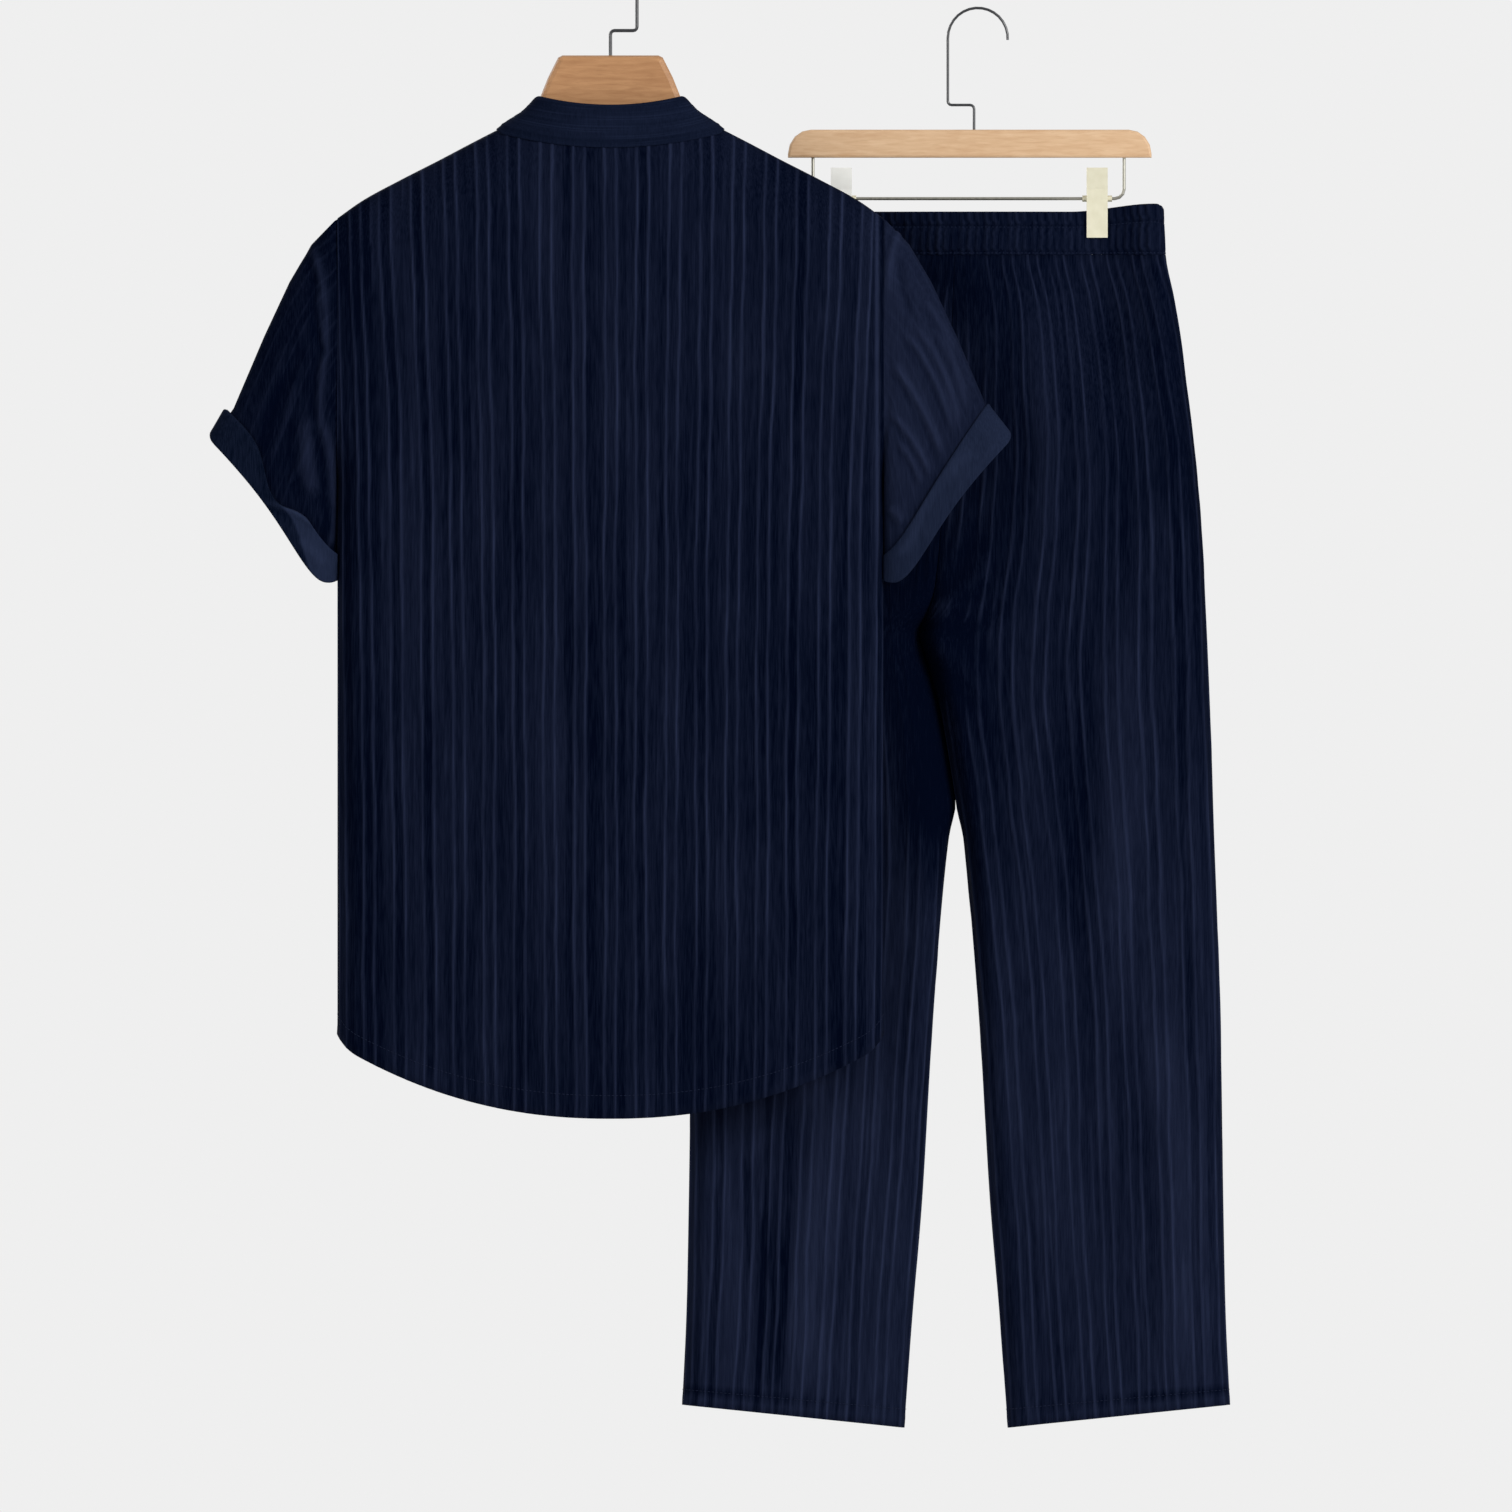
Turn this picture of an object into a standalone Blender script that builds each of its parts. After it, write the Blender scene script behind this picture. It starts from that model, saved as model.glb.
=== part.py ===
"""A pleated short-sleeved shirt and matching trousers, each on its own wooden hanger.

Sizes are in millimetres, with X to the right, Y away from the viewer and Z up. The viewer looks at the backs of
both garments. Zero is the inside of the crown of the shirt hanger's hook, where the set is held up. The shirt
and the trousers each have an empty on their own middle plane, and their pieces are its children.
"""
import math
from collections import namedtuple

import bmesh
import bpy
import numpy as np

MM = 0.001

# Cloth and seams
SEAM = 0.3
WALL = 1.3
RIDGE = 1.4
RIDGES_IN_PLEAT = (0.317, 0.683)
SMALL_STEP = 0.01
SIDE_ON = 1e-6
SHARP_ANGLE = 40.0
HALVINGS = 24

# Where the two garments hang
SHIRT_PLACE = (3.4, 0.0, 0.0)
TROUSER_PLACE = (291.6, 68.0, 0.0)

# Shirt body
BODY_HALF_WIDTH = 227.5
BODY_SIDE_DEPTH = 21.0
BODY_MIDDLE_DEPTH = 29.0
BODY_SIDE_RADIUS = 20.0
ARMPIT_Z = -456.0
ARMHOLE_RISE = 60.0
ARMHOLE_TURN = 0.2
BACK_ARCH = 70.0
FRONT_NECK_DROP = 112.0
FRONT_NECK_REACH = 95.0
NECK_HALF_WIDTH = 70.0
NECK_HALF_DEPTH = 26.0
HEM_MIDDLE_Z = -988.0
HEM_RISE = 50.0
HEM_RISE_AT = 207.0
HEM_POWER = 2.2
HEM_CORNER = 9.0
BACK_PLEATS = 19
FRONT_PLEATS = 9
BODY_LOWER_STEPS = (0.0, 0.02, 0.3, 0.65, 1.0)
BODY_UPPER_STEPS = (0.22, 0.5, 0.74, 0.9, 0.965, 0.99, 1.0)
FOLD_FADE = 0.12
SIDE_COLUMN = 1.0

Outline = namedtuple("Outline", "x z")
SHOULDER_LINE = [
    Outline(x=0.0, z=-130.0),
    Outline(x=40.0, z=-138.5),
    Outline(x=70.0, z=-152.0),
    Outline(x=111.7, z=-173.0),
    Outline(x=142.5, z=-189.2),
    Outline(x=175.0, z=-205.8),
    Outline(x=205.8, z=-222.5),
    Outline(x=228.0, z=-238.0),
]

# Broad soft folds: where the middle of each lies, how wide it is and how far it stands out
Fold = namedtuple("Fold", "x lean width height")
BACK_FOLDS = [
    Fold(x=-155.0, lean=0.02, width=46.0, height=2.0),
    Fold(x=-20.0, lean=-0.01, width=60.0, height=1.2),
    Fold(x=88.0, lean=0.03, width=52.0, height=-2.2),
    Fold(x=190.0, lean=0.0, width=30.0, height=1.4),
]
FRONT_FOLDS = [
    Fold(x=-120.0, lean=0.03, width=50.0, height=1.8),
    Fold(x=105.0, lean=-0.02, width=55.0, height=1.6),
]

# Collar
STAND_WALL = 1.6
STAND_CLEAR = 1.0
STAND_FRONT_CLEAR = 3.7
LEAF_WALL = 1.8
FOLD_HALF_WIDTH = 62.5
FOLD_HALF_DEPTH = 25.0
FOLD_SIDE_Z = -137.0
FOLD_BACK_Z = -143.0
FOLD_FRONT_Z = -208.0
FOLD_DIP_FRONT = 1.5
FOLD_DIP_BACK = 2.0
FRONT_RAMP = 2.0
LEAF_HALF_WIDTH = 90.0
LEAF_BACK_Z = -177.0
LEAF_SIDE_Z = -163.0
LEAF_CLEAR = RIDGE + SEAM + 1.0
POINT_X = 46.0
POINT_Z = -272.0
LEAF_STATIONS = 39
LEAF_LIFT = 1.25
LEAF_EDGE_RAMP = 0.25
LEAF_OVER_STAND = 0.6
LEAF_SHIN_OUT = 0.9
LEAF_SHIN_DOWN = 0.3
LEAF_SHIN_LOW_OUT = 1.5
LEAF_MIDDLE_OUT = 1.2
LEAF_MIDDLE_UP = 1.5
LEAF_MIDDLE_OVER = 0.6
LEAF_TOP_INNER = 0.7
LEAF_TURN_OUT = 0.8
LEAF_TURN_UP = 0.3
LEAF_ROWS = (0.35, 0.7)
LEAF_FRONT_ANGLE = 9.0
STAND_FRONT_ANGLE = 0.4
LEAF_FRONT_CLEAR = 8.6
PLACKET_CLEAR_TO = 32.0
PLACKET_CLEAR_OVER = 10.0

# Front placket and buttons
PLACKET_HALF_WIDTH = 16.0
PLACKET_WALL = 1.4
PLACKET_OUT = RIDGE + SEAM + 0.4
PLACKET_COLUMNS = 5
BUTTON_RADIUS = 5.7
BUTTON_THICK = 2.2
BUTTON_EDGE = 0.5
BUTTON_SIDES = 14
BUTTON_TOP_Z = -300.0
BUTTON_SPACING = 125.0
BUTTON_COUNT = 5
COLLAR_BUTTON_OUT = 0.5

# Sleeves: the top fold, the under fold, the sag of the lower half and half the depth, down the sleeve
SleeveRow = namedtuple("SleeveRow", "top_x top_z under_x under_z belly half_depth")
SLEEVE = [
    SleeveRow(top_x=228.0, top_z=-238.0, under_x=228.0, under_z=-456.0, belly=0.0, half_depth=19.0),
    SleeveRow(top_x=249.0, top_z=-259.5, under_x=230.4, under_z=-468.0, belly=0.0, half_depth=20.0),
    SleeveRow(top_x=267.5, top_z=-291.0, under_x=230.9, under_z=-483.0, belly=1.0, half_depth=20.0),
    SleeveRow(top_x=288.5, top_z=-336.0, under_x=232.4, under_z=-499.0, belly=3.0, half_depth=19.0),
    SleeveRow(top_x=314.0, top_z=-394.0, under_x=236.2, under_z=-519.0, belly=6.0, half_depth=17.5),
    SleeveRow(top_x=331.0, top_z=-419.0, under_x=238.0, under_z=-532.0, belly=19.0, half_depth=17.5),
]
SLEEVE_PLEATS = 14
SLEEVE_FULLNESS = 2.4
BELLY_POWER = 3.1
CUFF_FIRST_ROW = 3.95
CUFF_STEPS = (0.0, 0.5, 1.0)
CUFF_BELOW = 0.12
CUFF_WALL = 2.2
CUFF_CLEAR = RIDGE + SEAM + 0.3
CUFF_FLARE = 2.0

# Trousers: outside edge, half the gap between the legs, half the depth and how rounded the edges are
Level = namedtuple("Level", "z outer gap half_depth edge")
TROUSERS = [
    Level(z=-226.0, outer=173.0, gap=0.0, half_depth=19.0, edge=15.0),
    Level(z=-268.0, outer=175.0, gap=0.0, half_depth=20.0, edge=16.0),
    Level(z=-306.0, outer=182.5, gap=0.0, half_depth=23.0, edge=18.0),
    Level(z=-373.0, outer=192.0, gap=0.0, half_depth=27.0, edge=20.0),
    Level(z=-455.0, outer=201.5, gap=0.0, half_depth=30.0, edge=20.0),
    Level(z=-556.0, outer=208.0, gap=0.0, half_depth=30.0, edge=20.0),
    Level(z=-690.0, outer=213.5, gap=0.0, half_depth=27.0, edge=19.0),
    Level(z=-725.0, outer=214.5, gap=0.0, half_depth=26.0, edge=19.0),
    Level(z=-756.0, outer=215.5, gap=5.0, half_depth=25.5, edge=18.0),
    Level(z=-822.0, outer=218.0, gap=11.7, half_depth=24.0, edge=18.0),
    Level(z=-924.0, outer=221.0, gap=19.2, half_depth=22.0, edge=18.0),
    Level(z=-1056.0, outer=223.0, gap=27.0, half_depth=20.5, edge=18.0),
    Level(z=-1156.0, outer=225.0, gap=35.4, half_depth=19.5, edge=18.0),
    Level(z=-1246.0, outer=228.5, gap=42.0, half_depth=19.0, edge=18.0),
]
Divide = namedtuple("Divide", "z x")
CENTRE_SEAM = [
    Divide(z=-226.0, x=0.0),
    Divide(z=-330.0, x=-4.0),
    Divide(z=-480.0, x=-12.0),
    Divide(z=-545.0, x=-18.0),
    Divide(z=-565.0, x=-24.0),
    Divide(z=-582.0, x=-31.0),
    Divide(z=-605.0, x=-25.0),
    Divide(z=-650.0, x=-13.0),
    Divide(z=-725.0, x=0.0),
]
CROTCH_Z = -582.0
CROTCH_RISE = 70.0
LEG_APART = 2.4
LEG_PLEATS = 9
LEG_LEVELS = (-267.6, -300.0, -380.0, -480.0, -545.0, -565.0, -582.0, -605.0, -650.0, -725.0, -870.0, -1056.0)
LEG_HEM_INNER_Z = -1246.0
LEG_HEM_OUTER_Z = -1227.0
LEG_HEM_INNER_X = 45.0
LEG_HEM_OUTER_X = 228.0
SECTION_POINTS = 72

# Waistband
BAND_WALL = 1.5
BAND_RIDGE = 1.4
BAND_GATHERS = 68
BAND_BOTTOM_Z = -267.3
BAND_MIDDLE_Z = -233.3
BAND_END_Z = -226.5
BAND_CLIMB_FROM = 95.0
BAND_CLIMB_OVER = 70.0
BAND_LEVELS = (0.0, 0.38, 0.72, 1.0)
BAND_BULGE = (0.0, 0.9, -0.4, 0.6)
BAND_BULGE_DEPTH = 8.0
BAND_PLAIN_EVERY = 4
PINCH_HALF_DEPTH = 3.4
PINCH_WIDTH = 45.0
PINCH_TOP_Z = -257.0
PINCH_END_Z = -420.0

# Shirt hanger
HANGER_HALF_THICK = 6.0
HANGER_EDGE = 4.4
HANGER_CLEAR = 3.5
ARM_END_X = 200.0
ARM_WIDTH_AT_NECK = 36.0
ARM_WIDTH_AT_END = 24.0
ARM_FIRST_X = 84.0
ARM_POINTS = 7
TIP_TURNS = (30.0, 0.0, -30.0, -60.0)
SADDLE_RISE = 4.0
NECK_OUTLINE = [
    Outline(x=0.0, z=-102.0),
    Outline(x=40.0, z=-102.0),
    Outline(x=43.6, z=-103.8),
    Outline(x=52.0, z=-120.5),
    Outline(x=58.2, z=-136.0),
    Outline(x=61.4, z=-148.0),
    Outline(x=64.8, z=-157.5),
    Outline(x=73.0, z=-162.4),
]
STEM_BORE = 22.0

# Hook wires
Hook = namedtuple("Hook", "wire stem_x foot_z jog_z rise_x centre_x centre_z radius")
SHIRT_HOOK = Hook(wire=1.45, stem_x=0.0, foot_z=-102.0, jog_z=-81.3, rise_x=22.1, centre_x=-3.4,
                  centre_z=-24.05, radius=25.5)
TROUSER_HOOK = Hook(wire=1.15, stem_x=15.0, foot_z=-163.3, jog_z=-142.7, rise_x=-6.9, centre_x=18.1,
                    centre_z=-86.7, radius=25.0)
JOG_FILLET = 3.2
HOOK_TAIL_ANGLE = 4.0
HOOK_STRAIGHT = 0.7
ARC_STEPS = 15
FILLET_STEPS = 3
WIRE_ROUND = 2
BORE_CLEAR = 0.3
BORE_SIDES = 12

# Trouser hanger
BAR_LEFT_X = -140.3
BAR_RIGHT_X = 163.1
BAR_TOP_Z = -163.3
BAR_BOTTOM_Z = -186.7
BAR_SHOULDER = 19.0
BAR_HALF_THICK = 6.0
BAR_EDGE = 2.0
BAR_STEP = 3.0
BAR_CORNER_STEPS = 4
BAR_BORE = STEM_BORE * 0.7
ROD_RADIUS = 1.35
ROD_LEFT_X = -119.4
ROD_RIGHT_X = 140.2
ROD_Z = -220.8
ROD_FILLET = 8.0
ROD_BORE = 9.0

# Clips
CLIP_PLACES = {"left": -95.7, "right": 117.7}
LEAF_HALF_X = 8.75
LEAF_THICK = 1.2
Bend = namedtuple("Bend", "y z")
LEAF_BENDS = [Bend(y=10.6, z=-195.0), Bend(y=7.2, z=-213.0), Bend(y=6.6, z=-222.0), Bend(y=5.9, z=-253.4)]
EAR_RADIUS = 4.4
EAR_THICK = 1.1
EAR_INSET = 0.5
EAR_STEPS = 6
SPRING_RADIUS = 2.7
SPRING_HALF_LENGTH = 12.4
SPRING_SIDES = 12

Finish = namedtuple("Finish", "red green blue roughness metallic")
NAVY_CLOTH = Finish(red=0.008, green=0.012, blue=0.028, roughness=0.9, metallic=0.0)
NAVY_TURNED = Finish(red=0.011, green=0.016, blue=0.035, roughness=0.9, metallic=0.0)
NAVY_BUTTON = Finish(red=0.01, green=0.013, blue=0.024, roughness=0.35, metallic=0.0)
WARM_WOOD = Finish(red=0.42, green=0.24, blue=0.12, roughness=0.45, metallic=0.0)
PALE_WOOD = Finish(red=0.69, green=0.48, blue=0.31, roughness=0.5, metallic=0.0)
BLACK_WIRE = Finish(red=0.012, green=0.012, blue=0.012, roughness=0.35, metallic=1.0)
STEEL_ROD = Finish(red=0.62, green=0.61, blue=0.57, roughness=0.25, metallic=1.0)
GOLD_PLATE = Finish(red=0.83, green=0.78, blue=0.56, roughness=0.3, metallic=1.0)


def clamp(value, low=0.0, high=1.0):
    """Keep a value between two ends."""
    return max(low, min(high, value))


def ease(value):
    """Smooth step from 0 to 1."""
    value = clamp(value)
    return value * value * (3 - 2 * value)


def read(table, key, field, at):
    """One column of a table at a place between its rows, on a smooth curve that never overshoots."""
    rows = sorted(table, key=lambda row: getattr(row, key))
    keys = [getattr(row, key) for row in rows]
    values = [getattr(row, field) for row in rows]
    if at <= keys[0]:
        return values[0]
    if at >= keys[-1]:
        return values[-1]
    index = next(i for i in range(len(keys) - 1) if at <= keys[i + 1])
    slopes = [(values[i + 1] - values[i]) / (keys[i + 1] - keys[i]) for i in range(len(keys) - 1)]

    def tangent(i):
        if i == 0 or i == len(keys) - 1:
            return slopes[min(i, len(slopes) - 1)]
        before, after = slopes[i - 1], slopes[i]
        return 0.0 if before * after <= 0 else 2 * before * after / (before + after)

    span = keys[index + 1] - keys[index]
    t = (at - keys[index]) / span
    start, end = values[index], values[index + 1]
    rise = (2 * t**3 - 3 * t**2 + 1) * start + (3 * t**2 - 2 * t**3) * end
    return rise + span * ((t**3 - 2 * t**2 + t) * tangent(index) + (t**3 - t**2) * tangent(index + 1))


def evenly_along(curve, fractions):
    """Points at the given fractions of the length of a finely drawn curve."""
    curve = np.asarray(curve, dtype=float)
    steps = np.linalg.norm(np.diff(curve, axis=0), axis=1)
    length = np.concatenate([[0.0], np.cumsum(steps)])
    places = np.asarray(fractions) * length[-1]
    return np.stack([np.interp(places, length, curve[:, axis]) for axis in range(curve.shape[1])], axis=1)


def rounded_run(low, high, count):
    """Places between two ends, closer together near both."""
    turn = np.linspace(0.0, math.pi, count)
    return low + (high - low) * (1 - np.cos(turn)) / 2


def pleat_columns(pleats, closed=False):
    """Fractions and ridge flags of the columns of a pleated panel: a valley and two ridges in each pleat."""
    fractions, ridges = [], []
    for pleat in range(pleats):
        fractions += [pleat / pleats] + [(pleat + ridge) / pleats for ridge in RIDGES_IN_PLEAT]
        ridges += [0.0, 1.0, 1.0]
    if not closed:
        fractions.append(1.0)
        ridges.append(0.0)
    return np.array(fractions), np.array(ridges)


def soft_folds(folds, x, z):
    """How far the broad soft folds lift the cloth at one place."""
    return sum(fold.height * math.exp(-(((x - fold.x - fold.lean * (z - ARMPIT_Z)) / fold.width) ** 2))
               for fold in folds)


# Collections, materials and meshes

def clear_scene():
    """Remove what the scene holds."""
    for thing in list(bpy.data.objects):
        bpy.data.objects.remove(thing, do_unlink=True)


def new_collection(name):
    """Make a collection in the scene."""
    collection = bpy.data.collections.new(name)
    bpy.context.scene.collection.children.link(collection)
    return collection


def make_material(name, finish):
    """Make a material from a finish."""
    material = bpy.data.materials.new(name)
    material.use_nodes = True
    shader = material.node_tree.nodes["Principled BSDF"]
    shader.inputs["Base Color"].default_value = (finish.red, finish.green, finish.blue, 1.0)
    shader.inputs["Roughness"].default_value = finish.roughness
    shader.inputs["Metallic"].default_value = finish.metallic
    return material


def place(thing, holder, finish):
    """Put an object in the set, under its garment's empty, with a material of its own."""
    for collection in list(thing.users_collection):
        collection.objects.unlink(thing)
    bpy.data.collections["pleated_set"].objects.link(thing)
    thing.parent = holder
    thing.data.materials.clear()
    thing.data.materials.append(make_material(thing.name, finish))
    return thing


def finish_mesh(name, bm, holder, finish, sharp=SHARP_ANGLE):
    """Turn a closed bmesh in millimetres into a named object, its faces pointing out."""
    bmesh.ops.recalc_face_normals(bm, faces=bm.faces)
    bmesh.ops.scale(bm, vec=(MM, MM, MM), verts=bm.verts)
    mesh = bpy.data.meshes.new(name)
    bm.to_mesh(mesh)
    bm.free()
    mesh.shade_smooth()
    mesh.set_sharp_from_angle(angle=math.radians(sharp))
    return place(bpy.data.objects.new(name, mesh), holder, finish)


def bridge(bm, first, second):
    """Fill the strip between two runs of vertices, which may differ in number."""
    i = j = 0
    while i < len(first) - 1 or j < len(second) - 1:
        next_i = (i + 1) / (len(first) - 1)
        next_j = (j + 1) / (len(second) - 1)
        if i < len(first) - 1 and (j == len(second) - 1 or next_i <= next_j + SMALL_STEP / 10):
            bm.faces.new((first[i], first[i + 1], second[j]))
            i += 1
        else:
            bm.faces.new((first[i], second[j + 1], second[j]))
            j += 1


def sheet_faces(bm, rows):
    """Fill a grid of vertices with quads."""
    for low, high in zip(rows, rows[1:]):
        for column in range(len(low) - 1):
            bm.faces.new((low[column], low[column + 1], high[column + 1], high[column]))


def cloth_wall(name, outer, inner, closed, holder, finish):
    """A closed wall between an outer and an inner grid of points with the same number of rows."""
    bm = bmesh.new()
    outer_rows = [[bm.verts.new(point) for point in row] for row in outer]
    inner_rows = [[bm.verts.new(point) for point in row] for row in inner]
    if closed:
        outer_rows = [row + row[:1] for row in outer_rows]
        inner_rows = [row + row[:1] for row in inner_rows]
    sheet_faces(bm, outer_rows)
    sheet_faces(bm, inner_rows)
    bridge(bm, outer_rows[0], inner_rows[0])
    bridge(bm, outer_rows[-1], inner_rows[-1])
    if not closed:
        for column in (0, -1):
            sheet_faces(bm, [[row[column] for row in outer_rows], [row[column] for row in inner_rows]])
    return finish_mesh(name, bm, holder, finish)


def outward(grid, closed, flip):
    """Unit normals of a grid of points; flip turns them to the other side."""
    if closed:
        wrapped = np.concatenate([grid[:, -1:], grid, grid[:, :1]], axis=1)
        across = np.gradient(wrapped, axis=1)[:, 1:-1]
    else:
        across = np.gradient(grid, axis=1)
    along = np.gradient(grid, axis=0)
    normals = np.cross(across, along) * flip
    return normals / np.linalg.norm(normals, axis=2, keepdims=True)


def keep_in_plane(normals, rows, columns, axis):
    """Turn the normals along an edge into its seam's plane, which is square to the given axis."""
    part = normals[rows, columns]
    part[..., axis] = 0.0
    normals[rows, columns] = part / np.linalg.norm(part, axis=-1, keepdims=True)


def wire(name, points, radius, holder, finish):
    """A round wire with closed ends along a run of points."""
    curve = bpy.data.curves.new(name, "CURVE")
    curve.dimensions = "3D"
    curve.bevel_depth = radius * MM
    curve.bevel_resolution = WIRE_ROUND
    curve.use_fill_caps = True
    spline = curve.splines.new("POLY")
    spline.points.add(len(points) - 1)
    for spot, (x, y, z) in zip(spline.points, points):
        spot.co = (x * MM, y * MM, z * MM, 1.0)
    return place(bpy.data.objects.new(name, curve), holder, finish)


def arc(centre_x, centre_z, radius, start, end, steps):
    """Points on an arc in the X Z plane, angles in degrees from +X."""
    angles = [math.radians(start + (end - start) * step / steps) for step in range(steps + 1)]
    return [(centre_x + radius * math.cos(angle), 0.0, centre_z + radius * math.sin(angle)) for angle in angles]


def board(name, outline, half_thick, edge, holder, finish):
    """A flat outline in the X Z plane made into a solid with rounded edges."""
    curve = bpy.data.curves.new(name, "CURVE")
    curve.dimensions = "2D"
    curve.fill_mode = "BOTH"
    curve.extrude = (half_thick - edge) * MM
    curve.bevel_depth = edge * MM
    curve.bevel_resolution = 1
    curve.offset = -edge * MM
    spline = curve.splines.new("POLY")
    spline.points.add(len(outline) - 1)
    spline.use_cyclic_u = True
    for spot, (x, z) in zip(spline.points, outline):
        spot.co = (x * MM, z * MM, 0.0, 1.0)
    flat = bpy.data.objects.new(name + "_outline", curve)
    bpy.context.scene.collection.objects.link(flat)
    flat.rotation_euler = (math.radians(90.0), 0.0, 0.0)
    solid = as_mesh(flat, name)
    return place(solid, holder, finish)


def as_mesh(source, name):
    """Replace a curve object by a welded mesh object that stands where it stood."""
    bpy.context.view_layer.update()
    evaluated = source.evaluated_get(bpy.context.evaluated_depsgraph_get())
    mesh = bpy.data.meshes.new_from_object(evaluated)
    bm = bmesh.new()
    bm.from_mesh(mesh)
    bmesh.ops.transform(bm, matrix=source.matrix_world, verts=bm.verts)
    bmesh.ops.remove_doubles(bm, verts=bm.verts, dist=SMALL_STEP * MM)
    bmesh.ops.recalc_face_normals(bm, faces=bm.faces)
    bm.to_mesh(mesh)
    bm.free()
    mesh.name = name
    mesh.shade_smooth()
    mesh.set_sharp_from_angle(angle=math.radians(SHARP_ANGLE))
    solid = bpy.data.objects.new(name, mesh)
    bpy.context.scene.collection.objects.link(solid)
    bpy.data.objects.remove(source, do_unlink=True)
    return solid


def cutter(name, radius, length, centre, along, holder):
    """A round cutter that the build leaves out."""
    bpy.ops.mesh.primitive_cylinder_add(vertices=BORE_SIDES, radius=radius * MM, depth=length * MM)
    tool = bpy.context.object
    tool.name = name
    turns = {"x": (0.0, math.radians(90.0), 0.0), "z": (0.0, 0.0, 0.0)}
    tool.rotation_euler = turns[along]
    tool.location = [value * MM for value in centre]
    for collection in list(tool.users_collection):
        collection.objects.unlink(tool)
    bpy.data.collections["cutters"].objects.link(tool)
    tool.parent = holder
    tool.hide_render = True
    tool.display_type = "WIRE"
    return tool


def combine(solid, tool, operation):
    """Cut or join one solid with another by a Boolean modifier."""
    modifier = solid.modifiers.new(tool.name, "BOOLEAN")
    modifier.operation = operation
    modifier.solver = "EXACT"
    modifier.object = tool


# Shirt body

def shoulder(x):
    """Height of the shoulder line, and of its smooth run under the neck."""
    return read(SHOULDER_LINE, "x", "z", abs(x))


def body_arch(x, front):
    """How far below the shoulder line the cloth reaches its full depth."""
    if not front:
        return BACK_ARCH
    return BACK_ARCH + FRONT_NECK_DROP * clamp(1 - (abs(x) / FRONT_NECK_REACH) ** 2)


def body_depth(x, z, front):
    """How far the cloth of the body stands from the shirt's middle plane."""
    reach = clamp(abs(x) / BODY_HALF_WIDTH)
    core = BODY_SIDE_DEPTH + (BODY_MIDDLE_DEPTH - BODY_SIDE_DEPTH) * (1 - reach**2)
    core += soft_folds(FRONT_FOLDS if front else BACK_FOLDS, x, z) * ease((1 - reach) / FOLD_FADE)
    turn = clamp((abs(x) - BODY_HALF_WIDTH + BODY_SIDE_RADIUS) / BODY_SIDE_RADIUS)
    opened = clamp((z - ARMPIT_Z) / ARMHOLE_RISE)
    side = math.sqrt(max(1 - (1 - (1 - ARMHOLE_TURN) * opened) * turn**2, 0.0))
    drop = clamp((shoulder(x) - z) / body_arch(x, front))
    return core * side * math.sqrt(1 - (1 - drop) ** 2)


def body_top(x, front):
    """Height of a panel's top edge: the shoulder seam, or the neckline inside it."""
    line = shoulder(x)
    if abs(x) >= NECK_HALF_WIDTH:
        return line
    depth = NECK_HALF_DEPTH * math.sqrt(1 - (x / NECK_HALF_WIDTH) ** 2)
    low, high = line - BACK_ARCH - FRONT_NECK_DROP, line
    for _ in range(HALVINGS):
        middle = (low + high) / 2
        if body_depth(x, middle, front) > depth:
            low = middle
        else:
            high = middle
    return low


def body_hem(x):
    """Height of the curved shirt-tail hem."""
    corner = clamp((abs(x) - HEM_RISE_AT) / (BODY_HALF_WIDTH - HEM_RISE_AT))
    return HEM_MIDDLE_Z + HEM_RISE * (abs(x) / HEM_RISE_AT) ** HEM_POWER + HEM_CORNER * corner**3


def body_columns(start, end, fractions, front):
    """X of each column of a panel, spread evenly along the cloth of a level section."""
    level = (ARMPIT_Z + HEM_MIDDLE_Z) / 2
    section = [(x, body_depth(x, level, front)) for x in rounded_run(start, end, SECTION_POINTS * 3)]
    return evenly_along(section, fractions)[:, 0]


def body_grid(columns, front):
    """Points of the cloth of one panel, from the hem up to the shoulder seam and the neckline."""
    grid = []
    for x in columns:
        hem, top = body_hem(x), body_top(x, front)
        heights = [hem + (ARMPIT_Z - hem) * step for step in BODY_LOWER_STEPS]
        heights += [ARMPIT_Z + (top - ARMPIT_Z) * step for step in BODY_UPPER_STEPS]
        side = 1 if front else -1
        grid.append([(x, side * max(body_depth(x, z, front), SEAM / 2), z) for z in heights])
    return np.array(grid).transpose(1, 0, 2)


def body_normals(grid, front):
    """Outward normals of a body panel, turned into the seams' planes along its edges."""
    normals = outward(grid, False, -1 if front else 1)
    last_low = len(BODY_LOWER_STEPS)
    for column in (0, grid.shape[1] - 1):
        if abs(grid[0, column, 0]) < BODY_HALF_WIDTH - SIDE_COLUMN:
            keep_in_plane(normals, slice(None), column, 0)
            continue
        keep_in_plane(normals, slice(0, last_low), column, 1)
        keep_in_plane(normals, slice(last_low, None), column, 0)
    for column in range(grid.shape[1]):
        if abs(grid[-1, column, 0]) >= NECK_HALF_WIDTH:
            keep_in_plane(normals, -1, column, 1)
    return normals


def make_body_panel(name, start, end, pleats, front, holder):
    """One pleated panel of the shirt's body."""
    fractions, ridges = pleat_columns(pleats)
    grid = body_grid(body_columns(start, end, fractions, front), front)
    normals = body_normals(grid, front)
    outer = grid + normals * (RIDGE * ridges[None, :, None])
    outer[-1] = grid[-1]
    inner = (grid - normals * WALL)[:, ridges == 0]
    return cloth_wall(name, outer, inner, False, holder, NAVY_CLOTH)


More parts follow.
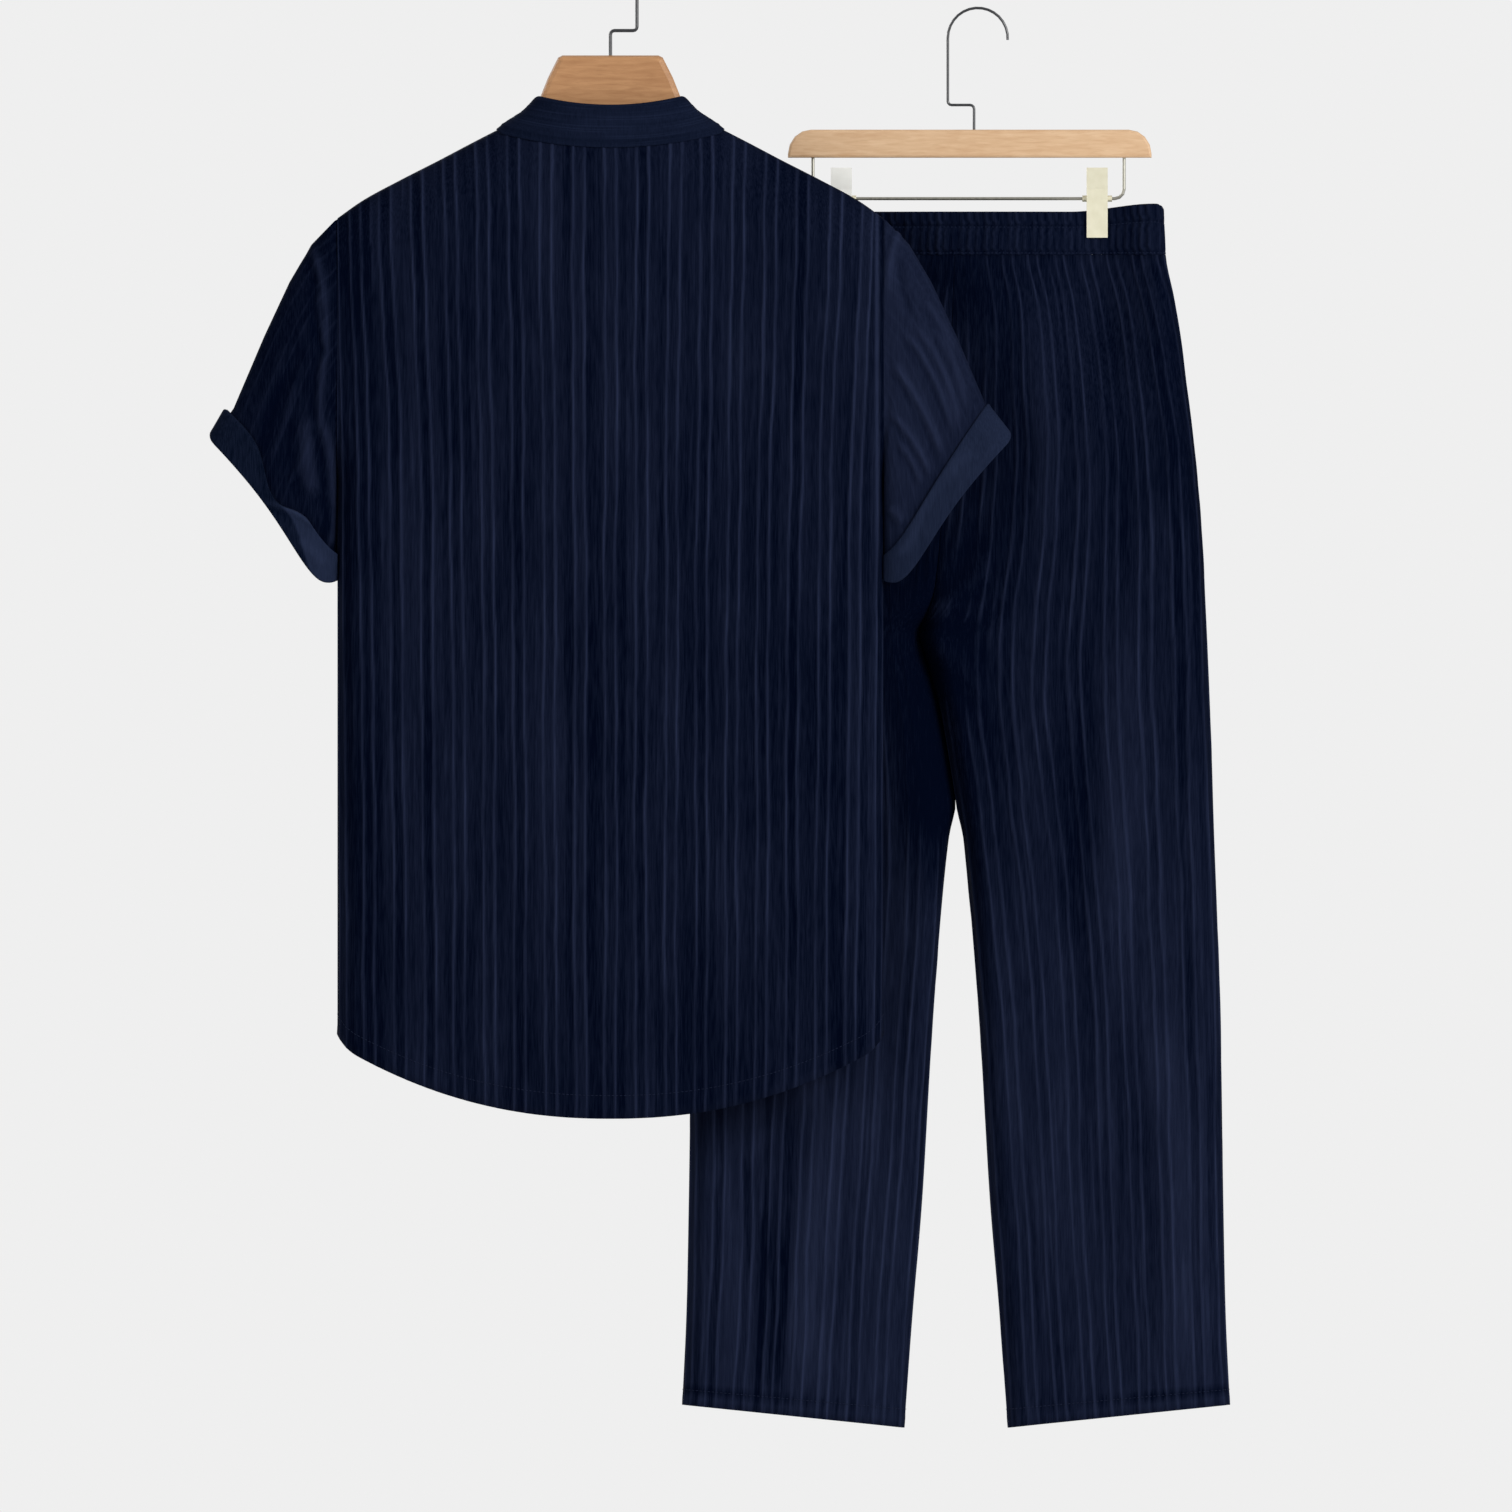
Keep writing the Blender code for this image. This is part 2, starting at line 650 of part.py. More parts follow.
def make_shirt_body(holder):
    """The back and the two fronts, which meet under the placket."""
    make_body_panel("shirt_back", -BODY_HALF_WIDTH, BODY_HALF_WIDTH, BACK_PLEATS, False, holder)
    make_body_panel("shirt_front_left", -BODY_HALF_WIDTH, -SEAM / 2, FRONT_PLEATS, True, holder)
    make_body_panel("shirt_front_right", SEAM / 2, BODY_HALF_WIDTH, FRONT_PLEATS, True, holder)


def make_placket(holder):
    """The strip down the middle of the front, made from the panels' own surface, moved out."""
    columns = np.linspace(-PLACKET_HALF_WIDTH, PLACKET_HALF_WIDTH, PLACKET_COLUMNS)
    grid = body_grid(columns, True)
    level = np.zeros_like(grid)
    level[..., 1] = 1.0
    under = grid + level * PLACKET_OUT
    cloth_wall("front_placket", under + level * PLACKET_WALL, under, False, holder, NAVY_CLOTH)


def make_button(name, x, surface_y, z, holder):
    """A round button that lies just off the cloth."""
    middle = surface_y + SEAM + BUTTON_THICK / 2
    bpy.ops.mesh.primitive_cylinder_add(vertices=BUTTON_SIDES, radius=BUTTON_RADIUS * MM, depth=BUTTON_THICK * MM,
                                        location=(x * MM, middle * MM, z * MM),
                                        rotation=(math.radians(90.0), 0.0, 0.0))
    button = bpy.context.object
    button.name = name
    rim = button.modifiers.new("rim", "BEVEL")
    rim.width = BUTTON_EDGE * MM
    rim.segments = 1
    rim.limit_method = "ANGLE"
    place(button, holder, NAVY_BUTTON)


def make_buttons(holder):
    """Five buttons down the placket."""
    for count in range(BUTTON_COUNT):
        z = BUTTON_TOP_Z - BUTTON_SPACING * count
        lift = PLACKET_OUT + PLACKET_WALL
        surface = max(body_depth(0.0, z + dz, True) for dz in (-BUTTON_RADIUS, 0.0, BUTTON_RADIUS)) + lift
        make_button(f"shirt_button_{count + 1}", 0.0, surface, z, holder)


# Collar

def neck_station(angle):
    """Points of the neckline and of the collar's fold at one angle round the neck, and the way out from it."""
    front = math.sin(angle) > 0
    x = NECK_HALF_WIDTH * math.cos(angle)
    z = body_top(x, front) if abs(math.sin(angle)) > SIDE_ON else shoulder(x)
    z += STAND_CLEAR + STAND_FRONT_CLEAR * clamp(math.sin(angle) * FRONT_RAMP)
    base = np.array([x, NECK_HALF_DEPTH * math.sin(angle), z])
    dip = FOLD_FRONT_Z if front else FOLD_BACK_Z
    ease_down = abs(math.sin(angle)) ** (FOLD_DIP_FRONT if front else FOLD_DIP_BACK)
    fold = np.array([FOLD_HALF_WIDTH * math.cos(angle), FOLD_HALF_DEPTH * math.sin(angle),
                     FOLD_SIDE_Z + (dip - FOLD_SIDE_Z) * ease_down])
    out = np.array([math.cos(angle) / FOLD_HALF_WIDTH, math.sin(angle) / FOLD_HALF_DEPTH, 0.0])
    return base, fold, out / np.linalg.norm(out)


def loft(name, sections, holder, finish):
    """A closed solid through a run of sections, each a loop of the same number of points."""
    bm = bmesh.new()
    loops = [[bm.verts.new(point) for point in section] for section in sections]
    for first, second in zip(loops, loops[1:]):
        for index in range(len(first)):
            follow = (index + 1) % len(first)
            bm.faces.new((first[index], first[follow], second[follow], second[index]))
    bm.faces.new(loops[0])
    bm.faces.new(loops[-1])
    bmesh.ops.triangulate(bm, faces=[face for face in bm.faces if len(face.verts) > 4])
    return finish_mesh(name, bm, holder, finish)


def station_angles():
    """Angles round the neck, from one side of the front opening round the back to the other."""
    start, end = math.radians(90 + LEAF_FRONT_ANGLE), math.radians(450 - LEAF_FRONT_ANGLE)
    return [start + (end - start) * step / (LEAF_STATIONS - 1) for step in range(LEAF_STATIONS)]


def make_collar_stand(holder):
    """The upright band round the neck, open at the middle of the front."""
    sections = []
    ends = math.radians(90 + STAND_FRONT_ANGLE), math.radians(450 - STAND_FRONT_ANGLE)
    for angle in [ends[0], *station_angles(), ends[1]]:
        base, fold, out = neck_station(angle)
        half = out * STAND_WALL / 2
        sections.append([base - half, base + half, fold + half, fold - half])
    loft("collar_stand", sections, holder, NAVY_CLOTH)
    base, fold, _ = neck_station(math.radians(90.0))
    middle = (base + fold) / 2
    make_button("shirt_button_collar", 0.0, middle[1] + STAND_WALL / 2 + COLLAR_BUTTON_OUT, middle[2], holder)


def push_off_body(point, clear):
    """Move a point out, or up where that is nearer, until it is clear of the shirt's body and its pleats."""
    x, y, z = point
    front = y > 0
    near = abs(y)
    if front:
        near -= (PLACKET_OUT + PLACKET_WALL) * clamp((PLACKET_CLEAR_TO - abs(x)) / PLACKET_CLEAR_OVER)
        clear += LEAF_FRONT_CLEAR * clamp(abs(y) / NECK_HALF_DEPTH * FRONT_RAMP)
    full = body_depth(x, ARMPIT_Z, front)
    arch = body_arch(x, front)
    top = shoulder(x) - arch * (1 - math.sqrt(1 - clamp(near / full) ** 2))
    out = (body_depth(x, z, front) if z < shoulder(x) else 0.0) + clear - near
    lift = top + clear * LEAF_LIFT - z
    if out > 0 and lift > 0:
        if lift < out:
            z += lift
        else:
            y = math.copysign(abs(y) + out, y)
    return np.array([x, y, z])


def leaf_edge(angle):
    """The collar's free edge: level round the back and sides, long at the two front points."""
    across, deep = math.cos(angle), math.sin(angle)
    if deep <= 0:
        x = LEAF_HALF_WIDTH * across
        z = LEAF_SIDE_Z + (LEAF_BACK_Z - LEAF_SIDE_Z) * deep**2
    else:
        toward = ease(deep)
        x = math.copysign(POINT_X + (LEAF_HALF_WIDTH - POINT_X) * (1 - toward), across)
        z = LEAF_SIDE_Z + (POINT_Z - LEAF_SIDE_Z) * toward
    depth = body_depth(x, min(z, shoulder(x)), deep > 0) + LEAF_CLEAR
    ramp = clamp(abs(deep) / LEAF_EDGE_RAMP)
    return np.array([x, math.copysign(depth * ramp, deep), z])


def make_collar_leaf(holder):
    """The turned-down leaf: over the stand's top, round the fold and down onto the shoulders."""
    sections = []
    for angle in station_angles():
        base, fold, out = neck_station(angle)
        up = np.array([0.0, 0.0, 1.0])
        half = out * STAND_WALL / 2
        edge = leaf_edge(angle)
        shin = fold + half + out * LEAF_SHIN_OUT
        shin_low = fold + (base - fold) * LEAF_SHIN_DOWN + half + out * LEAF_SHIN_LOW_OUT
        inner_edge = push_off_body(edge, LEAF_CLEAR)
        outer_edge = push_off_body(edge, LEAF_CLEAR + LEAF_WALL)
        middle = base + half + out * LEAF_MIDDLE_OUT + up * LEAF_MIDDLE_UP
        between = [middle + (inner_edge - middle) * share for share in LEAF_ROWS]
        inner_rows = [push_off_body(point, LEAF_CLEAR) for point in between]
        outer_rows = [push_off_body(point + out * LEAF_WALL + up * SEAM, LEAF_CLEAR + LEAF_WALL) for point in between]
        inner_middle = push_off_body(middle, LEAF_CLEAR)
        outer_middle = push_off_body(middle + out * LEAF_WALL + up * LEAF_MIDDLE_OVER, LEAF_CLEAR + LEAF_WALL)
        sections.append([
            fold - half + up * LEAF_OVER_STAND,
            fold - half + up * (LEAF_OVER_STAND + LEAF_WALL * LEAF_TOP_INNER),
            fold + half + up * (LEAF_OVER_STAND + LEAF_WALL),
            shin + out * LEAF_WALL * LEAF_TURN_OUT + up * LEAF_WALL * LEAF_TURN_UP,
            outer_middle,
            *outer_rows,
            outer_edge,
            inner_edge,
            *reversed(inner_rows),
            inner_middle,
            shin_low,
            shin + up * LEAF_OVER_STAND,
        ])
    loft("collar_leaf", sections, holder, NAVY_TURNED)


# Sleeves and cuffs

def sleeve_spine(row, t):
    """A point on the middle surface of the sleeve: t runs from the top fold to the under fold."""
    sag = row.belly * math.sin(math.pi * t**BELLY_POWER)
    return (row.top_x + (row.under_x - row.top_x) * t, row.top_z + (row.under_z - row.top_z) * t - sag)


def sleeve_row(place_down):
    """A row of the sleeve's table, between its rows and a little past the last one."""
    index = int(clamp(math.floor(place_down), 0, len(SLEEVE) - 2))
    part = place_down - index
    first, second = SLEEVE[index], SLEEVE[index + 1]
    return SleeveRow(*[a + (b - a) * part for a, b in zip(first, second)])


def sleeve_loop(place_down, fractions, side):
    """Points round the sleeve at one place down it, from the top fold round the back."""
    row = sleeve_row(place_down)
    half_loop = []
    for t in rounded_run(0.0, 1.0, SECTION_POINTS):
        x, z = sleeve_spine(row, t)
        full = row.half_depth * (1 - abs(2 * t - 1) ** SLEEVE_FULLNESS) ** (1 / SLEEVE_FULLNESS)
        joined = body_depth(BODY_HALF_WIDTH, z, False)
        share = ease(place_down)
        half_loop.append((x, joined * (1 - share) + full * share, z))
    back = [(x, -depth, z) for x, depth, z in half_loop]
    front = [(x, depth, z) for x, depth, z in reversed(half_loop)]
    loop = evenly_along(back + front[1:], fractions)
    loop[:, 0] *= side
    return loop


def sleeve_grid(places, fractions, side):
    """Points of the sleeve's cloth and their outward normals."""
    grid = np.array([sleeve_loop(place_down, fractions, side) for place_down in places])
    normals = outward(grid, True, side)
    return grid, normals


def make_sleeve(name, side, holder):
    """A pleated tube from the armhole to the hem, open at both ends."""
    fractions, ridges = pleat_columns(SLEEVE_PLEATS, closed=True)
    grid, normals = sleeve_grid(range(len(SLEEVE)), fractions, side)
    keep_in_plane(normals, 0, slice(None), 0)
    lift = np.ones(len(SLEEVE))
    lift[0] = 0.0
    outer = grid + normals * (RIDGE * ridges[None, :, None] * lift[:, None, None])
    inner = (grid - normals * WALL)[:, ridges == 0]
    cloth_wall(name, outer, inner, True, holder, NAVY_CLOTH)


def make_cuff(name, side, holder):
    """The turned-up cuff, made from the sleeve's surface, moved out."""
    fractions, _ = pleat_columns(SLEEVE_PLEATS, closed=True)
    last = len(SLEEVE) - 1 + CUFF_BELOW
    places = [CUFF_FIRST_ROW + (last - CUFF_FIRST_ROW) * step for step in CUFF_STEPS]
    grid, normals = sleeve_grid(places, fractions, side)
    flare = np.array([CUFF_FLARE * (1 - step) for step in CUFF_STEPS])
    inner = grid + normals * (CUFF_CLEAR + flare[:, None, None])
    outer = grid + normals * (CUFF_CLEAR + CUFF_WALL + flare[:, None, None])
    cloth_wall(name, outer, inner, True, holder, NAVY_TURNED)


def make_sleeves(holder):
    """Both sleeves with their cuffs."""
    for name, side in (("left", -1), ("right", 1)):
        make_sleeve("sleeve_" + name, side, holder)
        make_cuff("cuff_" + name, side, holder)


# Trousers

def leg_edges(z, side):
    """The inner and outer edge of one half of the trousers at a height; side is 1 on the right."""
    divide = read(CENTRE_SEAM, "z", "x", z) * side
    apart = SEAM / 2 if z > CROTCH_Z else LEG_APART / 2
    return divide + read(TROUSERS, "z", "gap", z) + apart, read(TROUSERS, "z", "outer", z)


def clip_pinch(x, z):
    """How much of the depth is left between the clips' jaws and near them."""
    near = sum(math.exp(-(((x - clip) / PINCH_WIDTH) ** 2)) for clip in CLIP_PLACES.values())
    fade = 1 - ease((PINCH_TOP_Z - z) / (PINCH_TOP_Z - PINCH_END_Z))
    full = read(TROUSERS, "z", "half_depth", max(z, PINCH_TOP_Z))
    return 1 - (1 - PINCH_HALF_DEPTH / full) * clamp(near) * fade


def trouser_depth(x, z, side):
    """How far the cloth stands from the trousers' middle plane; x counts outward from the middle."""
    inner, outer = leg_edges(z, side)
    edge = read(TROUSERS, "z", "edge", z)
    turn_out = clamp((x - outer + edge) / edge)
    turn_in = clamp((inner + edge - x) / edge)
    shut = clamp((CROTCH_Z + CROTCH_RISE - z) / CROTCH_RISE)
    depth = read(TROUSERS, "z", "half_depth", z) * clip_pinch(x * side, z)
    return depth * math.sqrt(max(1 - turn_out**2, 0.0)) * math.sqrt(max(1 - shut**2 * turn_in**2, 0.0))


def leg_section(z, fractions, side):
    """Points across one leg panel at a height, spread evenly along the cloth."""
    inner, outer = leg_edges(z, side)
    run = [(x, trouser_depth(x, z, side)) for x in rounded_run(inner, outer, SECTION_POINTS)]
    return evenly_along(run, fractions)


def leg_hem(x):
    """Height of the trouser hem, a little higher on the outside."""
    across = clamp((x - LEG_HEM_INNER_X) / (LEG_HEM_OUTER_X - LEG_HEM_INNER_X))
    return LEG_HEM_INNER_Z + (LEG_HEM_OUTER_Z - LEG_HEM_INNER_Z) * across


def leg_grid(fractions, side, front):
    """Points of the cloth of one leg panel, from the hem up to the waistband."""
    facing = 1 if front else -1
    grid = []
    hem_x = leg_section(LEG_HEM_INNER_Z, fractions, side)[:, 0]
    hem = [leg_section(leg_hem(x), [fraction], side)[0] for x, fraction in zip(hem_x, fractions)]
    grid.append([(x * side, facing * max(depth, SEAM / 2), leg_hem(x)) for x, depth in hem])
    for z in reversed(LEG_LEVELS):
        row = leg_section(z, fractions, side)
        grid.append([(x * side, facing * max(depth, SEAM / 2), z) for x, depth in row])
    return np.array(grid)


def make_leg_panel(name, side, front, holder):
    """One pleated leg panel, from the centre seam and inseam to the outside seam."""
    fractions, ridges = pleat_columns(LEG_PLEATS)
    grid = leg_grid(fractions, side, front)
    normals = outward(grid, False, side * (-1 if front else 1))
    keep_in_plane(normals, slice(None), -1, 1)
    below = [row for row in range(len(grid)) if grid[row, 0, 2] <= CROTCH_Z]
    above = [row for row in range(len(grid)) if grid[row, 0, 2] > CROTCH_Z]
    keep_in_plane(normals, below, 0, 1)
    keep_in_plane(normals, above, 0, 0)
    outer = grid + normals * (RIDGE * ridges[None, :, None])
    inner = (grid - normals * WALL)[:, ridges == 0]
    outer[-1, :, 2] = grid[-1, :, 2]
    inner[-1, :, 2] = grid[-1, 0, 2]
    cloth_wall(name, outer, inner, False, holder, NAVY_CLOTH)


def band_top(x):
    """Height of the waistband's top edge, which climbs a little towards both ends."""
    return BAND_MIDDLE_Z + (BAND_END_Z - BAND_MIDDLE_Z) * ease((abs(x) - BAND_CLIMB_FROM) / BAND_CLIMB_OVER)


def band_loop(step, bulge, fractions):
    """Points round the waistband at one step up it, from the left end round the back."""
    def height(x):
        return BAND_BOTTOM_Z + (band_top(x) - BAND_BOTTOM_Z) * step

    level = height(0.0)
    outer = leg_edges(level, 1)[1]
    run = []
    for x in rounded_run(-outer, outer, SECTION_POINTS * 3):
        z = height(x)
        full = trouser_depth(abs(x), z, 1) if abs(x) > PINCH_WIDTH else read(TROUSERS, "z", "half_depth", z)
        full = full / clip_pinch(abs(x), z) if abs(x) > PINCH_WIDTH else full
        depth = full * clip_pinch(x, z)
        run.append((x, depth + bulge * clamp(depth / BAND_BULGE_DEPTH), z))
    back = [(x, -depth, z) for x, depth, z in run]
    front = [(x, depth, z) for x, depth, z in reversed(run)]
    return evenly_along(back + front[1:], fractions)


def make_waistband(holder):
    """The elastic casing: a gathered ring over the four leg panels."""
    count = BAND_GATHERS * 2
    fractions = np.arange(count) / count
    grid = np.array([band_loop(step, bulge, fractions) for step, bulge in zip(BAND_LEVELS, BAND_BULGE)])
    normals = outward(grid, True, 1)
    ridges = np.arange(count) % 2
    ridges[0] = 0
    outer = grid + normals * (BAND_RIDGE * ridges[None, :, None])
    inner = (grid - normals * BAND_WALL)[:, ::BAND_PLAIN_EVERY]
    for points in (outer, inner):
        points[0, :, 2] = BAND_BOTTOM_Z
    cloth_wall("trouser_waistband", outer, inner, True, holder, NAVY_CLOTH)


def make_trousers(holder):
    """Waistband and four leg panels."""
    make_waistband(holder)
    for name, side in (("left", -1), ("right", 1)):
        make_leg_panel("trouser_back_" + name, side, False, holder)
        make_leg_panel("trouser_front_" + name, side, True, holder)


# Hangers

def arm_outline():
    """Right half of the shirt hanger: the neck, the arm under the shoulder seam and the underside."""
    steps = [ARM_FIRST_X + (ARM_END_X - ARM_FIRST_X) * step / ARM_POINTS for step in range(ARM_POINTS + 1)]
    top = [(x, shoulder(x) - HANGER_CLEAR) for x in steps]

    def width(x):
        return ARM_WIDTH_AT_NECK + (ARM_WIDTH_AT_END - ARM_WIDTH_AT_NECK) * x / ARM_END_X

    end_x, end_z = top[-1]
    radius = width(end_x) / 2
    centre = (end_x, end_z - radius)
    tip = [(centre[0] + radius * math.cos(math.radians(turn)), centre[1] + radius * math.sin(math.radians(turn)))
           for turn in TIP_TURNS]
    under = [(x, shoulder(x) - HANGER_CLEAR - width(x)) for x in reversed(steps)]
    saddle = [(0.0, under[-1][1] + SADDLE_RISE)]
    return [(point.x, point.z) for point in NECK_OUTLINE] + top + tip + under + saddle


def make_shirt_hanger(holder):
    """A flat wooden hanger whose arms lie under the shoulder seams, and its hook."""
    right = arm_outline()
    left = [(-x, z) for x, z in reversed(right) if x > 0]
    wood = board("shirt_hanger_wood", right + left, HANGER_HALF_THICK, HANGER_EDGE, holder, WARM_WOOD)
    bore = cutter("stem_bore_shirt", SHIRT_HOOK.wire + BORE_CLEAR, STEM_BORE * 2,
                  (SHIRT_HOOK.stem_x, 0.0, SHIRT_HOOK.foot_z), "z", holder)
    combine(wood, bore, "DIFFERENCE")
    wire("shirt_hanger_hook", hook_path(SHIRT_HOOK), SHIRT_HOOK.wire, holder, BLACK_WIRE)


def hook_path(hook):
    """The wire from inside the wood, up its stem, through the jog and over the crown to its end."""
    way = 1 if hook.rise_x > hook.stem_x else -1
    low = (hook.stem_x + way * JOG_FILLET, hook.jog_z - JOG_FILLET)
    high = (hook.rise_x - way * JOG_FILLET, hook.jog_z + JOG_FILLET)
    path = [(hook.stem_x, 0.0, hook.foot_z - STEM_BORE + SEAM), (hook.stem_x, 0.0, hook.foot_z)]
    path += arc(*low, JOG_FILLET, 180.0 if way > 0 else 0.0, 90.0, FILLET_STEPS)
    path += arc(*high, JOG_FILLET, -90.0, 0.0 if way > 0 else -180.0, FILLET_STEPS)
    begin, end = (0.0, 180.0 + HOOK_TAIL_ANGLE) if way > 0 else (180.0, -HOOK_TAIL_ANGLE)
    rise = [(hook.rise_x, 0.0, hook.centre_z - hook.radius * HOOK_STRAIGHT)]
    return path + rise + arc(hook.centre_x, hook.centre_z, hook.radius, begin, end, ARC_STEPS)


def make_trouser_bar(holder):
    """The wooden bar with its rounded upper corners, bored for the hook and the rod."""
    outline = [(BAR_LEFT_X, BAR_BOTTOM_Z)]
    height = BAR_TOP_Z - BAR_BOTTOM_Z
    for turn in range(BAR_CORNER_STEPS + 1):
        angle = math.radians(90.0 * turn / BAR_CORNER_STEPS)
        outline.append((BAR_LEFT_X + BAR_SHOULDER * (1 - math.cos(angle)),
                        BAR_BOTTOM_Z + BAR_STEP + (height - BAR_STEP) * math.sin(angle)))
    outline += [(BAR_LEFT_X + BAR_RIGHT_X - x, z) for x, z in reversed(outline)]
    bar = board("trouser_hanger_bar", outline, BAR_HALF_THICK, BAR_EDGE, holder, PALE_WOOD)
    cuts = [("stem_bore_trousers", TROUSER_HOOK.wire, BAR_BORE, TROUSER_HOOK.stem_x, BAR_TOP_Z),
            ("rod_bore_left", ROD_RADIUS, ROD_BORE, ROD_LEFT_X, BAR_BOTTOM_Z),
            ("rod_bore_right", ROD_RADIUS, ROD_BORE, ROD_RIGHT_X, BAR_BOTTOM_Z)]
    for name, radius, depth, x, z in cuts:
        combine(bar, cutter(name, radius + BORE_CLEAR, depth * 2, (x, 0.0, z), "z", holder), "DIFFERENCE")


def make_rod(holder):
    """The bent rod that carries the clips."""
    top = BAR_BOTTOM_Z + ROD_BORE - SEAM
    corner_z = ROD_Z + ROD_FILLET
    path = [(ROD_LEFT_X, 0.0, top), (ROD_LEFT_X, 0.0, BAR_BOTTOM_Z)]
    path += arc(ROD_LEFT_X + ROD_FILLET, corner_z, ROD_FILLET, 180.0, 270.0, FILLET_STEPS)
    path += arc(ROD_RIGHT_X - ROD_FILLET, corner_z, ROD_FILLET, -90.0, 0.0, FILLET_STEPS)
    path += [(ROD_RIGHT_X, 0.0, BAR_BOTTOM_Z), (ROD_RIGHT_X, 0.0, top)]
    wire("trouser_hanger_rod", path, ROD_RADIUS, holder, STEEL_ROD)


def side_profile(name, outline, half_x, x):
    """A closed outline in the Y Z plane made into a solid of the given half width at x."""
    curve = bpy.data.curves.new(name, "CURVE")
    curve.dimensions = "2D"
    curve.fill_mode = "BOTH"
    curve.extrude = half_x * MM
    spline = curve.splines.new("POLY")
    spline.points.add(len(outline) - 1)
    spline.use_cyclic_u = True
    for spot, (y, z) in zip(spline.points, outline):
        spot.co = (y * MM, z * MM, 0.0, 1.0)
    flat = bpy.data.objects.new(name + "_outline", curve)
    bpy.context.scene.collection.objects.link(flat)
    flat.rotation_euler = (math.radians(90.0), 0.0, math.radians(90.0))
    flat.location = (x * MM, 0.0, 0.0)
    return as_mesh(flat, name)


def leaf_profile(facing):
    """Side view of a clip leaf: a thin plate along its bends."""
    near = [(facing * bend.y, bend.z) for bend in LEAF_BENDS]
    far = [(facing * (bend.y + LEAF_THICK), bend.z) for bend in LEAF_BENDS]
    return near + far[::-1]


def ear_profile(facing):
    """Side view of a clip leaf's ear: round about the rod, straight to the plate."""
    reach = facing * (LEAF_BENDS[2].y + LEAF_THICK / 2)
    turns = [math.radians(90.0 + 180.0 * step / EAR_STEPS) for step in range(EAR_STEPS + 1)]
    round_end = [(facing * EAR_RADIUS * math.cos(turn), ROD_Z + EAR_RADIUS * math.sin(turn)) for turn in turns]
    return [(reach, ROD_Z + EAR_RADIUS)] + round_end + [(reach, ROD_Z - EAR_RADIUS)]


def make_leaf(name, x, facing, ear_x, holder):
    """One leaf of a clip: a bent plate with two ears that turn on the spring's barrel."""
    leaf = side_profile(name, leaf_profile(facing), LEAF_HALF_X, x)
    for word, way in (("a", -1), ("b", 1)):
        ear = side_profile(f"{name}_ear_{word}", ear_profile(facing), EAR_THICK / 2, x + way * ear_x)
        for collection in list(ear.users_collection):
            collection.objects.unlink(ear)
        bpy.data.collections["cutters"].objects.link(ear)
        ear.parent = holder
        ear.hide_render = True
        ear.display_type = "WIRE"
        combine(leaf, ear, "UNION")
    bore = cutter(name + "_bore", SPRING_RADIUS + BORE_CLEAR, LEAF_HALF_X * 3, (x, 0.0, ROD_Z), "x", holder)
    combine(leaf, bore, "DIFFERENCE")
    place(leaf, holder, GOLD_PLATE)


def make_spring(name, x, holder):
    """The spring's barrel round the rod: a turned tube."""
    inner, outer = (ROD_RADIUS + BORE_CLEAR) * MM, SPRING_RADIUS * MM
    half = SPRING_HALF_LENGTH * MM
    mesh = bpy.data.meshes.new(name)
    bm = bmesh.new()
    corners = [bm.verts.new(point) for point in ((inner, 0, half), (outer, 0, half), (outer, 0, -half),
                                                 (inner, 0, -half))]
    for index in range(4):
        bm.edges.new((corners[index], corners[(index + 1) % 4]))
    bm.to_mesh(mesh)
    bm.free()
    barrel = bpy.data.objects.new(name, mesh)
    turned = barrel.modifiers.new("turned", "SCREW")
    turned.axis = "Z"
    turned.steps = SPRING_SIDES
    turned.render_steps = SPRING_SIDES
    turned.use_merge_vertices = True
    turned.merge_threshold = SMALL_STEP * MM
    barrel.rotation_euler = (0.0, math.radians(90.0), 0.0)
    barrel.location = (x * MM, 0.0, ROD_Z * MM)
    place(barrel, holder, STEEL_ROD)


def make_clips(holder):
    """Two clips, each of two leaves and a spring."""
    for word, x in CLIP_PLACES.items():
        wide = LEAF_HALF_X - EAR_INSET - EAR_THICK / 2
        make_leaf(f"clip_{word}_front", x, -1, wide, holder)
        make_leaf(f"clip_{word}_back", x, 1, wide - EAR_THICK - SEAM * 2, holder)
        make_spring(f"clip_{word}_spring", x, holder)


def make_trouser_hanger(holder):
    """Bar, hook, rod and clips."""
    make_trouser_bar(holder)
    path = hook_path(TROUSER_HOOK)
    path[0] = (TROUSER_HOOK.stem_x, 0.0, BAR_TOP_Z - BAR_BORE + SEAM)
    wire("trouser_hanger_hook", path, TROUSER_HOOK.wire, holder, BLACK_WIRE)
    make_rod(holder)
    make_clips(holder)


def make_holder(name, spot):
    """An empty on a garment's middle plane."""
    holder = bpy.data.objects.new(name, None)
    holder.location = [value * MM for value in spot]
    bpy.data.collections["pleated_set"].objects.link(holder)
    return holder


def main():
    """Build the whole set."""
    clear_scene()
    new_collection("pleated_set")
    new_collection("cutters")
    shirt = make_holder("shirt_middle", SHIRT_PLACE)
    make_shirt_body(shirt)
    make_placket(shirt)
    make_buttons(shirt)
    make_collar_stand(shirt)
    make_collar_leaf(shirt)
    make_sleeves(shirt)
    make_shirt_hanger(shirt)
    trousers = make_holder("trouser_middle", TROUSER_PLACE)
    make_trousers(trousers)
    make_trouser_hanger(trousers)


main()
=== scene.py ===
import math
from collections import namedtuple

